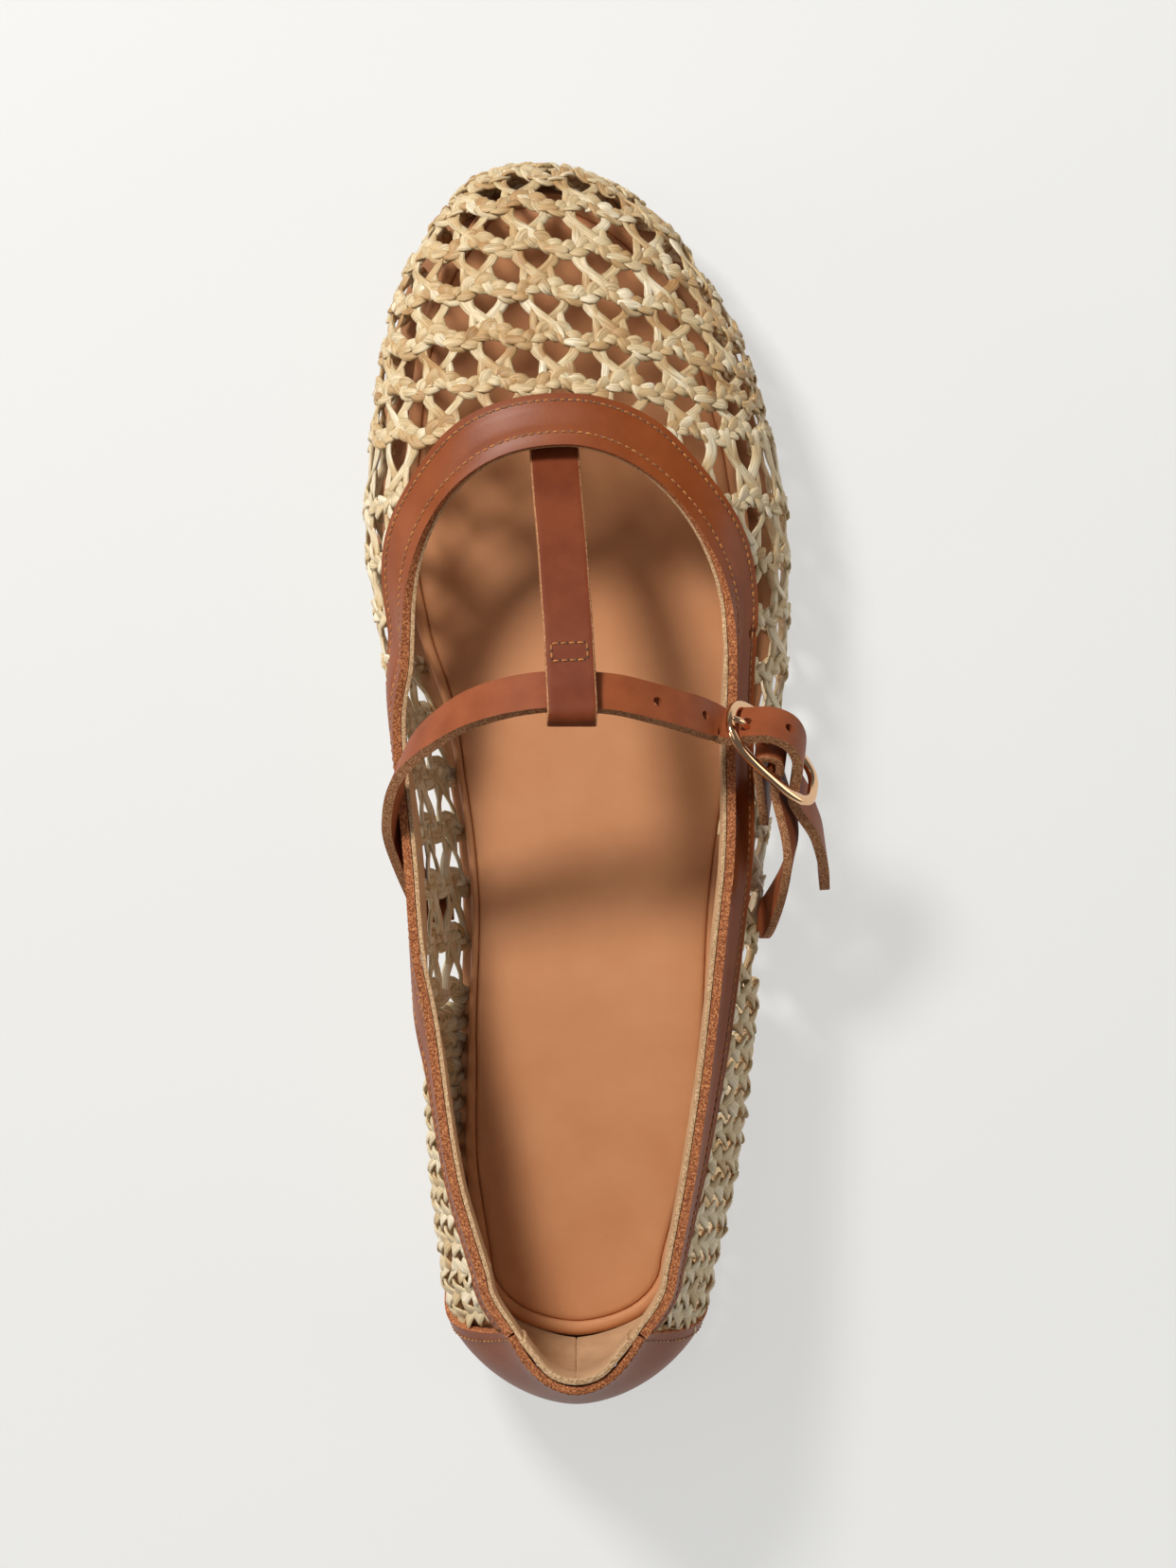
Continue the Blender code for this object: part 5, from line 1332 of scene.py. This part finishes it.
# %% [markdown]
# Every seam is a lock stitch: short lengths of thread that lie on the leather and go down into a needle
# hole at both ends. They are made as small strands and joined into one mesh for each seam.

# %% Stitches of the binding
STITCH_PITCH, STITCH_HALF, STITCH_WIDTH = 1.6, 0.6, 0.22
STITCH_RISE = np.array((-0.3, 0.02, 0.1, 0.02, -0.3))  # height of the thread over the leather
# a dark mark of painted shade stands for the needle hole after each stitch
HOLE_SHADE_HALF, HOLE_SHADE_WIDTH, HOLE_SHADE_THICK = 0.32, 0.26, 0.07  # the dark needle hole after each stitch


def add_stitches(pile, path, normals):
    """Stitches along a path of points, sunk at their ends, with a painted-shade mark for each needle hole.
    """
    run = np.concatenate([[0.0], np.cumsum(np.linalg.norm(np.diff(path, axis=0), axis=1))])
    for middle in np.arange(STITCH_PITCH / 2, run[-1], STITCH_PITCH):
        at = np.clip(middle + STITCH_HALF * np.linspace(-1, 1, 5), 0, run[-1])
        centres = np.column_stack([np.interp(at, run, path[:, k]) for k in range(3)])
        up = unit(np.array([np.interp(middle, run, normals[:, k]) for k in range(3)]))
        centres = centres + up * STITCH_RISE[:, None]
        heading = unit(np.gradient(centres, axis=0))
        wide = unit(np.cross(up, heading))
        thin = np.cross(heading, wide)
        width = np.full(5, STITCH_WIDTH)
        pile.add(centres, wide, thin, width, width, rng.uniform(0.35, 0.85))
        # a dark flat mark of painted shade where the thread goes into its needle hole
        hole = centres[-1] - up * STITCH_RISE[-1] + np.outer((-HOLE_SHADE_HALF, HOLE_SHADE_HALF), heading[2])
        pile.add(hole, wide[:2], thin[:2], np.full(2, HOLE_SHADE_WIDTH), np.full(2, HOLE_SHADE_THICK), 0.0)


def edge_seam(ends, reach, lift, count):
    """Path and normals of a seam round the opening at one distance from its edge."""
    place, reaches = np.linspace(*ends, count), np.full(count, reach)
    lift = lift - tucked(place) * (reach / COVER_WIDTH) ** 2
    low, high = (by_edge(place, reaches, level, True) for level in (lift, lift + 1.0))
    return low, high - low


band_pile = StrandPile()
for row in STITCH_ROWS:
    face = BAND_LIFT + BAND_THICK / 2 + float(pillow(np.array([row]))[0])
    add_stitches(band_pile, *edge_seam(BAND_ENDS, row, face, 400))
binding_stitches = band_pile.join("binding_stitches", thread)
fit(binding_stitches, None)

# %% [markdown]
# The counter is sewn along its front edges and along the collar. Its seams are laid out by the counter's
# own function, a little way in from its edges and on its outer face.

# %% Stitches of the counter
COUNTER_SEAM, TOPLINE_SEAM = 3.0, 2.0  # from the counter's front edge and from the collar
counter_face = COUNTER_LIFT + COUNTER_THICK / 2


def counter_seam(a, b, front, high):
    """Path and normals of a seam on the counter."""
    low, up = (heel_place(a, b, front, 0.6, high, np.full(len(a), counter_face + k)) for k in (0.0, 1.0))
    return low, up - low


counter_pile = StrandPile()
climb = np.linspace(0.05, 0.93, 60)
for edge in (0.0, 1.0):
    add_stitches(counter_pile, *counter_seam(np.full(60, edge), climb, COUNTER_SEAM, 0.0))
round_heel = np.linspace(0.03, 0.97, 90)
add_stitches(counter_pile, *counter_seam(round_heel, np.ones(90), 0.0, TOPLINE_SEAM))
counter_stitches = counter_pile.join("counter_stitches", thread)
fit(counter_stitches, None)

# %% [markdown]
# The strap along the foot is folded round the instep strap, and a small box of stitches holds the fold. Its
# four sides are paths on the strap's upper face.

# %% Stitch box of the strap
BOX_Y, BOX_HALF_ALONG, BOX_HALF_ACROSS = 25.1, 1.75, 3.45


def on_t_strap(along, across):
    """Path and normals on the upper face of the strap along the foot."""
    centre, side, normal, run = t_frames
    top = slice(0, int(np.argmax(centre[:, 2])))
    start = float(np.interp(-BOX_Y, -centre[top, 1], run[top]))
    at = start + along
    spots = np.column_stack([np.interp(at, run, (centre + normal * T_THICK / 2)[:, k]) for k in range(3)])
    sides = np.column_stack([np.interp(at, run, side[:, k]) for k in range(3)])
    normals = np.column_stack([np.interp(at, run, normal[:, k]) for k in range(3)])
    return spots + sides * across[:, None], normals


box_pile = StrandPile()
whole, still = np.linspace(-1, 1, 12), np.ones(12)
for edge in (-1, 1):
    add_stitches(box_pile, *on_t_strap(edge * BOX_HALF_ALONG * still, BOX_HALF_ACROSS * whole))
    add_stitches(box_pile, *on_t_strap(BOX_HALF_ALONG * whole, edge * BOX_HALF_ACROSS * still))
box_stitches = box_pile.join("t_strap_stitches", thread)
fit(box_stitches, None)

# %% [markdown]
# The shoe is seen from straight above, from a metre and a half. One small key light stands towards the toe
# on the inner side and throws the lattice's shadow on the footbed. A large weak light above, two wide cards
# far off at the sides and a pale surround fill the shadows, as white walls would in a studio.

# %% Floor, light and camera
CAMERA_HEIGHT, MM_PER_PIXEL, FRAME_PIXELS, SENSOR = 1500.0, 0.19, 1656, 36.0


def soft_light(name, place, size, watts, colour):
    """A square light that faces the shoe."""
    deselect()
    bpy.ops.object.light_add(type="AREA", location=[v * MM for v in place])
    light = bpy.context.object
    light.name = name
    light.data.size, light.data.energy, light.data.color = size * MM, watts, linear(colour)[:3]
    light.rotation_euler = (-light.location).to_track_quat("-Z", "Y").to_euler()


deselect()
bpy.ops.mesh.primitive_plane_add(size=16.0, location=(0, 0, -0.0002))
floor = bpy.context.object
floor.name = "floor"
floor.data.materials.append(paper)
soft_light("key", (-370, 500, 740), 180, 8.6, "#FFFDFA")
soft_light("soft", (-520, 430, 1500), 1200, 3.8, "#FFFFFF")
soft_light("inner_card", (-2600, 0, 680), 1300, 21.0, "#FFF8EE")
soft_light("outer_card", (2600, -100, 680), 1300, 16.0, "#FFF6EA")
world = bpy.data.worlds.new("surround")
world.use_nodes = True
world.node_tree.nodes["Background"].inputs["Color"].default_value = linear("#F2F3F4")
world.node_tree.nodes["Background"].inputs["Strength"].default_value = 0.17
bpy.context.scene.world = world
camera = bpy.data.objects.new("camera", bpy.data.cameras.new("camera"))
camera.data.sensor_fit, camera.data.sensor_height = "VERTICAL", SENSOR
camera.data.lens = SENSOR * CAMERA_HEIGHT / (FRAME_PIXELS * MM_PER_PIXEL)
camera.location = [(a + b) * MM for a, b in zip(SHIFT, (0, 0, CAMERA_HEIGHT))]
bpy.context.scene.collection.objects.link(camera)
bpy.context.scene.camera = camera
bpy.context.scene.view_settings.view_transform = "Standard"
print("camera lens", round(camera.data.lens, 1), "mm")
